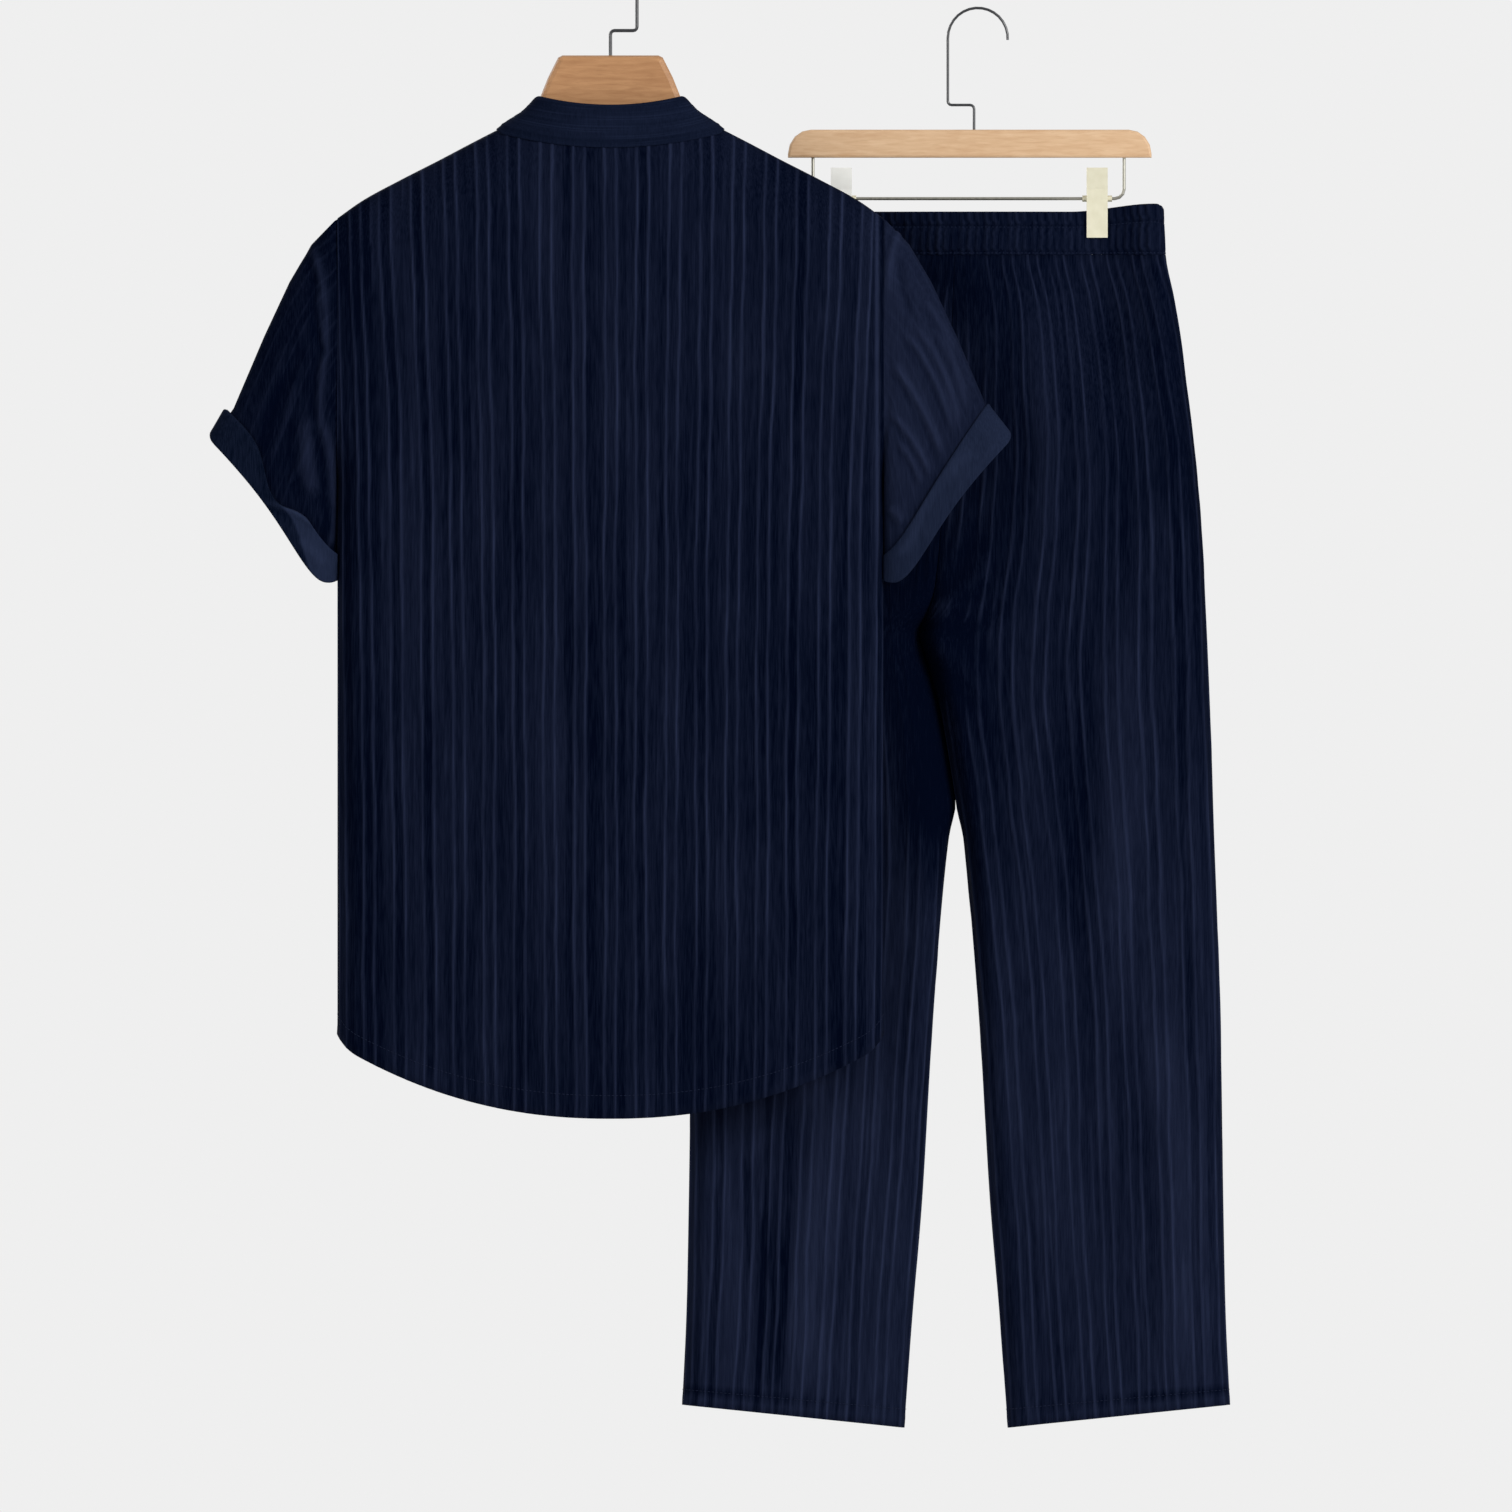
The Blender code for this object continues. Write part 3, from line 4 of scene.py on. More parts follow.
import bmesh
import bpy
import numpy as np
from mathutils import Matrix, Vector


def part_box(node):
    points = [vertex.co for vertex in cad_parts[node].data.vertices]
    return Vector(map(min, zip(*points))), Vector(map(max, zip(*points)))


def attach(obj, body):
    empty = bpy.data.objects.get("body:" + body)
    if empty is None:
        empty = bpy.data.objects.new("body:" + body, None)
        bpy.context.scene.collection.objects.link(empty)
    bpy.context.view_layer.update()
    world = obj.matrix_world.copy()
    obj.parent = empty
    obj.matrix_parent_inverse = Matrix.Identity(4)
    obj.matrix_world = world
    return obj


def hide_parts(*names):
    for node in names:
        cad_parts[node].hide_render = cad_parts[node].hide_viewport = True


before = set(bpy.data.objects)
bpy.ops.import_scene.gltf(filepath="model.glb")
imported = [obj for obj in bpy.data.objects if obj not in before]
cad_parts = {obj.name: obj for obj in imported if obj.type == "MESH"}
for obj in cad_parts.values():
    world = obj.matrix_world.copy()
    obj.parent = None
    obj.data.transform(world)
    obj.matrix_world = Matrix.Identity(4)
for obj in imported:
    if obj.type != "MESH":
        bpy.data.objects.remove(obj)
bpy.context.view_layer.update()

# Shirt back
# One panel of navy polyester, heat-pressed into pairs of fine standing pleats and cut with a curved shirt-tail
# hem. It is sewn to the fronts at the shoulders and sides, and its hem is turned up twice and stitched.
MM = 0.001
SHIRT_PLACE = np.array([3.4, 0.0, 0.0])
SEAM = 0.3
CLOTH = 0.8
RIDGE = 1.4
BODY_HALF_WIDTH = 227.5
BODY_SIDE_DEPTH = 21.0
BODY_MIDDLE_DEPTH = 29.0
BODY_SIDE_RADIUS = 20.0
ARMPIT_Z = -456.0
ARMHOLE_RISE = 60.0
ARMHOLE_TURN = 0.2
BACK_ARCH = 70.0
FRONT_NECK_DROP = 112.0
FRONT_NECK_REACH = 95.0
NECK_HALF_WIDTH = 70.0
NECK_HALF_DEPTH = 26.0
HEM_MIDDLE_Z = -988.0
HEM_RISE = 50.0
HEM_RISE_AT = 207.0
HEM_POWER = 2.2
HEM_CORNER = 9.0
BACK_PLEATS = 19
FRONT_PLEATS = 9
PLEAT_STEPS = 18
BODY_LOW_ROWS = 56
BODY_HIGH_ROWS = 48
HEM_BAND = 9.0
HEM_THICK = 0.5
HEM_STITCHES_UP = 7.5
HEM_STITCH_ROW = 2
HEM_STITCH_LIFT = 0.15
ALLOWANCE = 5.4
ALLOWANCE_END_Z = -560.0
FOLD_FADE = 0.12
BODY_TONE = 1.25
FINE_RUN = 400
HALVINGS = 24
TINY = 1e-9
# A pleat is a pair of crests, and sometimes a third. Places across it run from 0 to 1.
CRESTS = (0.317, 0.683)
CREST_WIDTH = 0.052
# Width of the painted highlight along each crest
CREST_HIGHLIGHT_WIDTH = 0.042
THIRD_CREST = 0.06
THIRD_WIDTH = 0.04
# Thread lies in stitches whose ends are thin and sunk in the cloth
THREAD_RADIUS = 0.28
STITCH_SIZES = (0.4, 1.0, 0.4)
STITCH_LIFTS = (-0.4, 0.55, -0.4)

Outline = namedtuple("Outline", "x z")
SHOULDER_LINE = [
    Outline(x=0.0, z=-130.0),
    Outline(x=40.0, z=-138.5),
    Outline(x=70.0, z=-152.0),
    Outline(x=111.7, z=-173.0),
    Outline(x=142.5, z=-189.2),
    Outline(x=175.0, z=-205.8),
    Outline(x=205.8, z=-222.5),
    Outline(x=228.0, z=-238.0),
]
Fold = namedtuple("Fold", "x lean width height")
BACK_FOLDS = [
    Fold(x=-155.0, lean=0.02, width=46.0, height=2.0),
    Fold(x=-20.0, lean=-0.01, width=60.0, height=1.2),
    Fold(x=88.0, lean=0.03, width=52.0, height=-2.2),
    Fold(x=190.0, lean=0.0, width=30.0, height=1.4),
]
FRONT_FOLDS = [
    Fold(x=-120.0, lean=0.03, width=50.0, height=1.8),
    Fold(x=105.0, lean=-0.02, width=55.0, height=1.6),
]
# The pressed pleats spread a little towards the shoulders
Spread = namedtuple("Spread", "z scale")
PLEAT_SPREAD = [
    Spread(z=-990.0, scale=0.985),
    Spread(z=-472.0, scale=1.01),
    Spread(z=-272.0, scale=1.05),
    Spread(z=-130.0, scale=1.07),
]


def ease(value):
    """Smooth step from 0 to 1."""
    value = np.clip(value, 0.0, 1.0)
    return value * value * (3 - 2 * value)


def hump(value, middle, width):
    """A smooth hill of height 1 round a middle value."""
    return np.exp(-(((value - middle) / width) ** 2))


def read(table, key, field, at):
    """One column of a table between its rows, on a smooth curve that never overshoots."""
    rows = sorted(table, key=lambda row: getattr(row, key))
    keys = np.array([getattr(row, key) for row in rows])
    values = np.array([getattr(row, field) for row in rows])
    slopes = np.diff(values) / np.diff(keys)
    product = slopes[:-1] * slopes[1:]
    total = np.where(product > 0, slopes[:-1] + slopes[1:], 1.0)
    middle = np.where(product > 0, 2 * product / total, 0.0)
    tangents = np.concatenate([slopes[:1], middle, slopes[-1:]])
    at = np.clip(np.asarray(at, dtype=float), keys[0], keys[-1])
    index = np.clip(np.searchsorted(keys, at) - 1, 0, len(keys) - 2)
    span = keys[index + 1] - keys[index]
    t = (at - keys[index]) / span
    rise = (2 * t**3 - 3 * t**2 + 1) * values[index] + (3 * t**2 - 2 * t**3) * values[index + 1]
    turn = (t**3 - 2 * t**2 + t) * tangents[index] + (t**3 - t**2) * tangents[index + 1]
    return rise + span * turn


def chance(lane, salt):
    """A fixed number from 0 to 1 for each lane."""
    return np.modf(np.abs(np.sin(np.asarray(lane) * 12.9898 + salt * 78.233)) * 4375.8545)[0]


def wander(along, lane, salt, length):
    """A smooth uneven swing between -1 and 1 along each lane."""
    turn = np.asarray(along) / length * math.tau
    return (np.sin(turn + chance(lane, salt) * math.tau)
            + 0.6 * np.sin(turn * 2.17 + chance(lane, salt + 1) * math.tau)
            + 0.35 * np.sin(turn * 4.63 + chance(lane, salt + 2) * math.tau)) / 1.95


def shoulder(x):
    """Height of the shoulder line, and of its smooth run under the neck."""
    return read(SHOULDER_LINE, "x", "z", np.abs(x))


def body_arch(x, front):
    """How far below the shoulder line the cloth reaches its full depth."""
    drop = FRONT_NECK_DROP * np.clip(1 - (np.abs(x) / FRONT_NECK_REACH) ** 2, 0, 1)
    return BACK_ARCH + drop * np.where(front, 1.0, 0.0)


def fold_height(table, x, z):
    """How far the soft hanging folds of a panel stand out."""
    return sum(fold.height * hump(x, fold.x + fold.lean * (z - ARMPIT_Z), fold.width) for fold in table)


def body_depth(x, z, front):
    """How far the cloth of the body stands from the shirt's middle plane."""
    reach = np.clip(np.abs(x) / BODY_HALF_WIDTH, 0, 1)
    core = BODY_SIDE_DEPTH + (BODY_MIDDLE_DEPTH - BODY_SIDE_DEPTH) * (1 - reach**2)
    folds = np.where(front, fold_height(FRONT_FOLDS, x, z), fold_height(BACK_FOLDS, x, z))
    core = core + folds * ease((1 - reach) / FOLD_FADE)
    turn = np.clip((np.abs(x) - BODY_HALF_WIDTH + BODY_SIDE_RADIUS) / BODY_SIDE_RADIUS, 0, 1)
    opened = np.clip((z - ARMPIT_Z) / ARMHOLE_RISE, 0, 1)
    side = np.sqrt(np.maximum(1 - (1 - (1 - ARMHOLE_TURN) * opened) * turn**2, 0.0))
    drop = np.clip((shoulder(x) - z) / body_arch(x, front), 0, 1)
    return core * side * np.sqrt(1 - (1 - drop) ** 2)


def body_top(x, front):
    """Height of a panel's top edge: the shoulder seam, or the neckline inside it."""
    line = shoulder(x)
    depth = NECK_HALF_DEPTH * np.sqrt(np.clip(1 - (x / NECK_HALF_WIDTH) ** 2, 0, 1))
    low, high = line - BACK_ARCH - FRONT_NECK_DROP, line.copy()
    for _ in range(HALVINGS):
        middle = (low + high) / 2
        deeper = body_depth(x, middle, front) > depth
        low, high = np.where(deeper, middle, low), np.where(deeper, high, middle)
    return np.where(np.abs(x) >= NECK_HALF_WIDTH, line, low)


def body_hem(x):
    """Height of the curved shirt-tail hem."""
    corner = np.clip((np.abs(x) - HEM_RISE_AT) / (BODY_HALF_WIDTH - HEM_RISE_AT), 0, 1)
    return HEM_MIDDLE_Z + HEM_RISE * (np.abs(x) / HEM_RISE_AT) ** HEM_POWER + HEM_CORNER * corner**3


def evenly_along(curve, fractions):
    """Points at the given fractions of the length of a finely drawn curve."""
    steps = np.linalg.norm(np.diff(curve, axis=0), axis=1)
    length = np.concatenate([[0.0], np.cumsum(steps)])
    places = np.asarray(fractions) * length[-1]
    return np.stack([np.interp(places, length, column) for column in curve.T], axis=1)


def tube_loop(x, depth, z, fractions):
    """Points evenly round a tube of cloth, along its back and home along its front."""
    back, front = np.stack([x, -depth, z], axis=1), np.stack([x, depth, z], axis=1)
    return evenly_along(np.concatenate([back, front[::-1][1:]]), fractions)


def rounded_run(low, high, count):
    """Places between two ends, closer together near both."""
    return low + (high - low) * (1 - np.cos(np.linspace(0.0, math.pi, count))) / 2


def outward(grid, closed, flip):
    """Unit normals of a grid of points; flip turns them to the other side."""
    if closed:
        wrapped = np.concatenate([grid[:, -1:], grid, grid[:, :1]], axis=1)
        across = np.gradient(wrapped, axis=1)[:, 1:-1]
    else:
        across = np.gradient(grid, axis=1)
    along = np.gradient(grid, axis=0)
    normals = np.cross(across, along) * flip
    return normals / np.maximum(np.linalg.norm(normals, axis=2, keepdims=True), TINY)


def pressed_pleats(across, along, swing, fine):
    """Height from 0 to 1 of the pressed pleats, and the tone from painted shade in each valley to a painted
    highlight on each ridge.
    """
    lane = np.floor(across)
    place = across - lane + swing * wander(along, lane, 3, 420.0) + 0.012 * wander(along, lane, 9, 97.0)
    strengths = [0.78 + 0.3 * wander(along, lane, salt, length) for salt, length in ((15, 350.0), (21, 290.0))]
    crest, polished = (sum(share * hump(place, middle, width) for share, middle in zip(strengths, CRESTS))
                       for width in (CREST_WIDTH, CREST_HIGHLIGHT_WIDTH))
    between = ease((place - 0.25) / 0.12) - ease((place - 0.63) / 0.12)
    third = np.clip(wander(along, lane, 27, 260.0), 0, 1) * hump(place, THIRD_CREST, THIRD_WIDTH)
    patchy = 0.5 + 0.5 * wander(along, np.floor(across * 4), 39, 150.0)
    crinkle = wander(across * 31.0, 0.0 * lane, 33, 9.0) * patchy
    height = 0.78 * crest + 0.16 * between + 0.3 * third + fine * crinkle
    # The crests are pressed glossy, and that gloss is painted on as a paler tone, a painted highlight; the dark
    # tone off the crests is painted shade, and some tone varies at random from pleat to pleat.
    tone = 0.09 + 0.72 * polished + 0.2 * between * chance(lane, 51) + 0.24 * chance(lane, 45) * (1 - between)
    tone = tone + 0.3 * third + 0.09 * crinkle + 0.08 * wander(along, lane, 57, 500.0)
    return np.clip(height, 0, 1.1), np.clip(tone, 0, 1)


def linear(hex_colour):
    """An sRGB hex colour as the linear values that a shader takes."""
    parts = [int(hex_colour[i:i + 2], 16) / 255 for i in (1, 3, 5)]
    return (*[p / 12.92 if p <= 0.04045 else ((p + 0.055) / 1.055) ** 2.4 for p in parts], 1.0)


def add_node(tree, kind, settings=None, links=None):
    """Add a shader node with its settings and the links into its sockets."""
    node = tree.nodes.new(kind)
    for key, value in (settings or {}).items():
        if isinstance(key, int) or key in node.inputs:
            node.inputs[key].default_value = value
        else:
            setattr(node, key, value)
    for key, source in (links or {}).items():
        tree.links.new(source, node.inputs[key])
    return node


def new_material(name):
    """An empty material, its node tree and the object's own coordinates."""
    material = bpy.data.materials.new(name)
    material.use_nodes = True
    tree = material.node_tree
    tree.nodes.clear()
    return material, tree, add_node(tree, "ShaderNodeTexCoord").outputs["Object"]


def stretched(tree, place, scale):
    """Coordinates scaled apart, so that what is drawn on them is longer one way."""
    return add_node(tree, "ShaderNodeMapping", {"Scale": scale}, {"Vector": place}).outputs["Vector"]


def cloudy(tree, place, scale, detail=2.0, distortion=0.0):
    """A soft uneven value between 0 and 1."""
    settings = {"Scale": scale, "Detail": detail, "Distortion": distortion}
    return add_node(tree, "ShaderNodeTexNoise", settings, {"Vector": place}).outputs["Fac"]


def spread(tree, value, low, high, start=0.0, end=1.0):
    """A value moved from the range between start and end to the range between low and high."""
    settings = {"From Min": start, "From Max": end, "To Min": low, "To Max": high}
    return add_node(tree, "ShaderNodeMapRange", settings, {"Value": value}).outputs["Result"]


def blend(tree, factor, first, second):
    """A colour between two hex colours."""
    settings = {"data_type": "RGBA", 6: linear(first), 7: linear(second)}
    return add_node(tree, "ShaderNodeMix", settings, {"Factor": factor}).outputs[2]


def dented(tree, height, strength, depth_mm):
    """Surface directions that show a value as fine relief."""
    settings = {"Strength": strength, "Distance": depth_mm * MM}
    return add_node(tree, "ShaderNodeBump", settings, {"Height": height}).outputs["Normal"]


def coat(tree, settings, links):
    """One surface shader, sent to the material's output."""
    surface = add_node(tree, "ShaderNodeBsdfPrincipled", settings, links)
    add_node(tree, "ShaderNodeOutputMaterial", links={"Surface": surface.outputs[0]})


def mottled_gloss(name, dull, bright, low_gloss, high_gloss, settings, scale, detail=2.0, distortion=0.0):
    """A smooth finish whose colour and gloss are both a little cloudy."""
    material, tree, place = new_material(name)
    cloud = cloudy(tree, place, scale, detail, distortion)
    coat(tree, settings, {"Base Color": blend(tree, cloud, dull, bright),
                          "Roughness": spread(tree, cloud, low_gloss, high_gloss)})
    return material


def pressed_polyester(name, valley, ridge, streak_mm):
    """Matt woven polyester, coloured with painted shade between the pleats and a painted highlight on their
    pressed crests.

    The weave's streaks are drawn about 1 mm wide, since real yarns of 0.2 mm are too fine to show.
    """
    cloth, tree, place = new_material(name)
    along = stretched(tree, place, (1.0, 1.0, 0.06))
    yarn = cloudy(tree, along, 1 / (streak_mm * MM))
    streaks = spread(tree, yarn, -0.1, 0.1, 0.3, 0.7)
    patches = spread(tree, cloudy(tree, along, 15.0), -0.07, 0.07, 0.3, 0.7)
    tone = add_node(tree, "ShaderNodeAttribute", {"attribute_name": "tone"}).outputs["Fac"]
    # The tone carries the pleats' painted shade and highlight; the streaks are the weave.
    tone_and_streaks = add_node(tree, "ShaderNodeMath", {"operation": "ADD"}, {0: tone, 1: streaks}).outputs[0]
    shade = add_node(tree, "ShaderNodeMath", {"operation": "ADD", "use_clamp": True}, {0: tone_and_streaks, 1: patches})
    coat(tree, {"Roughness": 0.9, "Specular IOR Level": 0.02},
         {"Base Color": blend(tree, shade.outputs[0], valley, ridge),
          "Normal": dented(tree, yarn, 0.35, 0.25)})
    return cloth


def new_piece(name, points, faces, material):
    """A smooth object in the scene, from points in millimetres."""
    mesh = bpy.data.meshes.new(name)
    mesh.from_pydata((np.asarray(points) * MM).tolist(), [], faces)
    mesh.polygons.foreach_set("use_smooth", [True] * len(mesh.polygons))
    mesh.materials.append(material)
    piece = bpy.data.objects.new(name, mesh)
    bpy.context.scene.collection.objects.link(piece)
    return piece


def sheet_piece(name, grid, tone, cloth, place, closed=False, flip=False, wall=CLOTH):
    """A thin shell through a grid of points in millimetres, with its tone kept on the points."""
    rows, columns = grid.shape[:2]
    index = np.arange(rows * columns).reshape(rows, columns)
    if closed:
        index = np.concatenate([index, index[:, :1]], axis=1)
    quads = np.stack([index[:-1, :-1], index[:-1, 1:], index[1:, 1:], index[1:, :-1]], axis=-1).reshape(-1, 4)
    if flip:
        quads = quads[:, ::-1]
    piece = new_piece(name, (grid + place).reshape(-1, 3), quads.tolist(), cloth)
    shades = piece.data.attributes.new("tone", "FLOAT", "POINT")
    shades.data.foreach_set("value", np.broadcast_to(tone, (rows, columns)).astype(np.float32).ravel())
    shell = piece.modifiers.new("cloth", "SOLIDIFY")
    shell.thickness = wall * MM
    shell.offset = -1.0
    return piece


def wear(piece, slot, *nodes):
    """Put a piece in a solid's place: it hides the solids and rides the one body; slot is not used."""
    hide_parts(*nodes)
    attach(piece, "root")


def stitch_row(name, path, out, thread, length=2.6, gap=0.9):
    """A row of single stitches laid along a path of points in millimetres, sunk a little in the cloth."""
    steps = np.linalg.norm(np.diff(path, axis=0), axis=1)
    whole = float(steps.sum())
    count = max(int(whole / (length + gap)), 1)
    starts = (np.arange(count) + 0.5 * gap / (length + gap)) / count
    ends = starts + length / (length + gap) / count
    laid = np.concatenate([path, np.broadcast_to(out, path.shape)], axis=1)
    keys = np.concatenate([[0.0], np.cumsum(steps)]) / whole
    points, faces = [], []
    for start, end in zip(starts, ends):
        spots = [np.array([np.interp(place, keys, column) for column in laid.T])
                 for place in (start, (start + end) / 2, end)]
        run = spots[2][:3] - spots[0][:3]
        run /= max(np.linalg.norm(run), TINY)
        base = len(points)
        for spot, size, lift in zip(spots, STITCH_SIZES, STITCH_LIFTS):
            away = spot[3:] / max(np.linalg.norm(spot[3:]), TINY)
            side = np.cross(run, away)
            middle = spot[:3] + away * THREAD_RADIUS * lift
            points += [middle + way * THREAD_RADIUS * size for way in (side, away, -side, -away)]
        for ring in (base, base + 4):
            for corner in range(4):
                after = (corner + 1) % 4
                faces.append((ring + corner, ring + after, ring + 4 + after, ring + 4 + corner))
        faces += [(base + 3, base + 2, base + 1, base), (base + 8, base + 9, base + 10, base + 11)]
    row = new_piece(name, points, faces, thread)
    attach(row, "root")
    return row


def stitches_on(name, grid, normals, row, place, lift):
    """A row of stitches along one row of a sheet's points."""
    return stitch_row(name, grid[row] + place + normals[row] * lift, normals[row], navy_thread)


def sewing_thread(name, shadow, colour):
    """Twisted polyester thread, a little smoother and paler than the cloth that it holds."""
    thread, tree, place = new_material(name)
    twist = cloudy(tree, place, 1600.0)
    coat(tree, {"Roughness": 0.7, "Specular IOR Level": 0.1},
         {"Base Color": blend(tree, twist, shadow, colour)})
    return thread


def body_panel(start, end, pleats, front):
    """The pleated cloth of one body panel: its points, its tone and the way out of the plain cloth."""
    level = (ARMPIT_Z + HEM_MIDDLE_Z) / 2
    run = rounded_run(start, end, FINE_RUN)
    fractions = np.linspace(0, 1, pleats * PLEAT_STEPS + 1)
    x = evenly_along(np.stack([run, body_depth(run, level, front)], axis=1), fractions)[:, 0]
    hem, top = body_hem(x), body_top(x, front)
    low = np.linspace(0, 1, BODY_LOW_ROWS)[:, None]
    high = (1 - (1 - np.linspace(0, 1, BODY_HIGH_ROWS)[1:]) ** 1.5)[:, None]
    z = np.concatenate([hem + (ARMPIT_Z - hem) * low, ARMPIT_Z + (top - ARMPIT_Z) * high])
    x = np.broadcast_to(x, z.shape)
    side = 1 if front else -1
    plain = np.stack([x, side * np.maximum(body_depth(x, z, front), SEAM / 2), z], axis=-1)
    normals = outward(plain, False, -side)
    if front:
        across = np.broadcast_to(fractions * pleats + (0 if start < 0 else 40), z.shape)
    else:
        across = 0.5 * pleats + (fractions - 0.5) * pleats / read(PLEAT_SPREAD, "z", "scale", z)
    height, tone = pressed_pleats(across, z, 0.05, 0.06)
    edge = ease(np.minimum(fractions, 1 - fractions) * (end - start) / 3.5)
    near_top = ease((top - z) / 4.0)
    above_hem = z - hem
    band = ease((HEM_BAND - above_hem) / 1.2)
    stitched = hump(above_hem, HEM_STITCHES_UP, 1.0)
    height = height * edge * near_top * (1 - 0.55 * band) + band * HEM_THICK / RIDGE - 0.3 * stitched
    beside = x - BODY_HALF_WIDTH + ALLOWANCE
    allowance = ease((beside + 4.0) / 3.0) * ease((z - ALLOWANCE_END_Z) / 90.0) * (not front)
    folded = 0.75 * hump(beside, 0.0, 1.9)
    tone = tone**BODY_TONE * (1 - 0.15 * ease((-800.0 - z) / 120.0))
    tone = tone * (1 - allowance) + folded * allowance + 0.08 * band - 0.12 * stitched
    return plain + normals * (RIDGE * height)[..., None], np.clip(tone, 0, 1), normals


navy_pleats = pressed_polyester("pressed navy polyester", "#000414", "#222940", 1.1)
navy_thread = sewing_thread("navy sewing thread", "#080E20", "#222B46")

grid, tone, normals = body_panel(-BODY_HALF_WIDTH, BODY_HALF_WIDTH, BACK_PLEATS, False)
shirt_back = sheet_piece("shirt_back_cloth", grid, tone, navy_pleats, SHIRT_PLACE)
wear(shirt_back, "navy_cloth", "shirt_back")
back_hem_stitches = stitches_on("shirt_back_hem_stitches", grid, normals, HEM_STITCH_ROW, SHIRT_PLACE,
                                HEM_STITCH_LIFT)

# Shirt fronts
# Two panels of the same pleated cloth, which meet under the placket. They don't show in the view from the back.
for word, start, end in (("left", -BODY_HALF_WIDTH, -SEAM / 2), ("right", SEAM / 2, BODY_HALF_WIDTH)):
    grid, tone, normals = body_panel(start, end, FRONT_PLEATS, True)
    front = sheet_piece(f"shirt_front_{word}_cloth", grid, tone, navy_pleats, SHIRT_PLACE, flip=True)
    wear(front, "navy_cloth", f"shirt_front_{word}")
    hem_stitches = stitches_on(f"shirt_front_{word}_hem_stitches", grid, normals, HEM_STITCH_ROW,
                               SHIRT_PLACE, HEM_STITCH_LIFT)

# Front placket
# A strip of the same cloth with its pleats pressed flat, folded under at both sides and topstitched 3 mm in.
PLACKET_HALF_WIDTH = 16.0
PLACKET_OUT = 2.1
PLACKET_WALL = 1.4
PLACKET_COLUMNS = 33
PLACKET_EDGE = 1.2
PLACKET_LOW_ROWS = 90
PLACKET_HIGH_ROWS = 60
STITCH_INSET = 3

pressed_flat = pressed_polyester("flat navy polyester", "#020716", "#1E263D", 0.8)

columns = np.linspace(-PLACKET_HALF_WIDTH, PLACKET_HALF_WIDTH, PLACKET_COLUMNS)
hem, top = body_hem(columns), body_top(columns, True)
low = np.linspace(0, 1, PLACKET_LOW_ROWS)[:, None]
high = np.linspace(0, 1, PLACKET_HIGH_ROWS)[1:, None]
z = np.concatenate([hem + (ARMPIT_Z - hem) * low, ARMPIT_Z + (top - ARMPIT_Z) * high])
x = np.broadcast_to(columns, z.shape)
grid = np.stack([x, np.maximum(body_depth(x, z, True), SEAM / 2), z], axis=-1)
inset = PLACKET_HALF_WIDTH - np.abs(columns)
rounded = np.sqrt(1 - (1 - np.clip(inset / PLACKET_EDGE, 0, 1)) ** 2)
groove = 0.35 * hump(inset, STITCH_INSET, 0.9)
puckers = 0.12 * wander(z, np.round(columns / 6), 61, 40.0)
grid[..., 1] += PLACKET_OUT + PLACKET_WALL * rounded - groove + puckers * (rounded > 0.9)
tone = 0.35 + 0.1 * wander(x * 3.1, 0, 63, 5.0) + 0.2 * (rounded < 0.9) - 0.5 * groove
placket = sheet_piece("front_placket_cloth", grid, np.clip(tone, 0, 1), pressed_flat, SHIRT_PLACE, flip=True)
wear(placket, "navy_cloth", "front_placket")
for word, column in (("left", STITCH_INSET), ("right", PLACKET_COLUMNS - 1 - STITCH_INSET)):
    path = grid[:, column] + SHIRT_PLACE + (0, 0.12, 0)
    stitch_row(f"placket_stitches_{word}", path, (0.0, 1.0, 0.0), navy_thread)

# Buttons
# Turned and polished navy resin, 11.4 mm wide, with a raised rim and four holes, each sewn on with crossed
# thread.
BUTTON_COUNT = 5
BUTTON_TURNS = 48
HOLE_OFFSET = 1.15
HOLE_RADIUS = 0.6
HOLE_EVERY = 4
STRAND_EVERY = 8
STRAND_APART = 1.4
STRAND_STEPS = 4
ButtonRing = namedtuple("ButtonRing", "radius height")
BUTTON_PROFILE = [
    ButtonRing(radius=3.3, height=0.55),
    ButtonRing(radius=3.7, height=0.65),
    ButtonRing(radius=4.1, height=1.0),
    ButtonRing(radius=4.7, height=1.12),
    ButtonRing(radius=5.3, height=0.95),
    ButtonRing(radius=5.65, height=0.45),
    ButtonRing(radius=5.7, height=0.0),
    ButtonRing(radius=5.5, height=-0.6),
    ButtonRing(radius=4.9, height=-1.0),
    ButtonRing(radius=3.6, height=-1.1),
]

resin = mottled_gloss("polished navy resin", "#050912", "#1B2340", 0.22, 0.34, {"IOR": 1.55},
                      scale=260.0, detail=3.0, distortion=1.2)


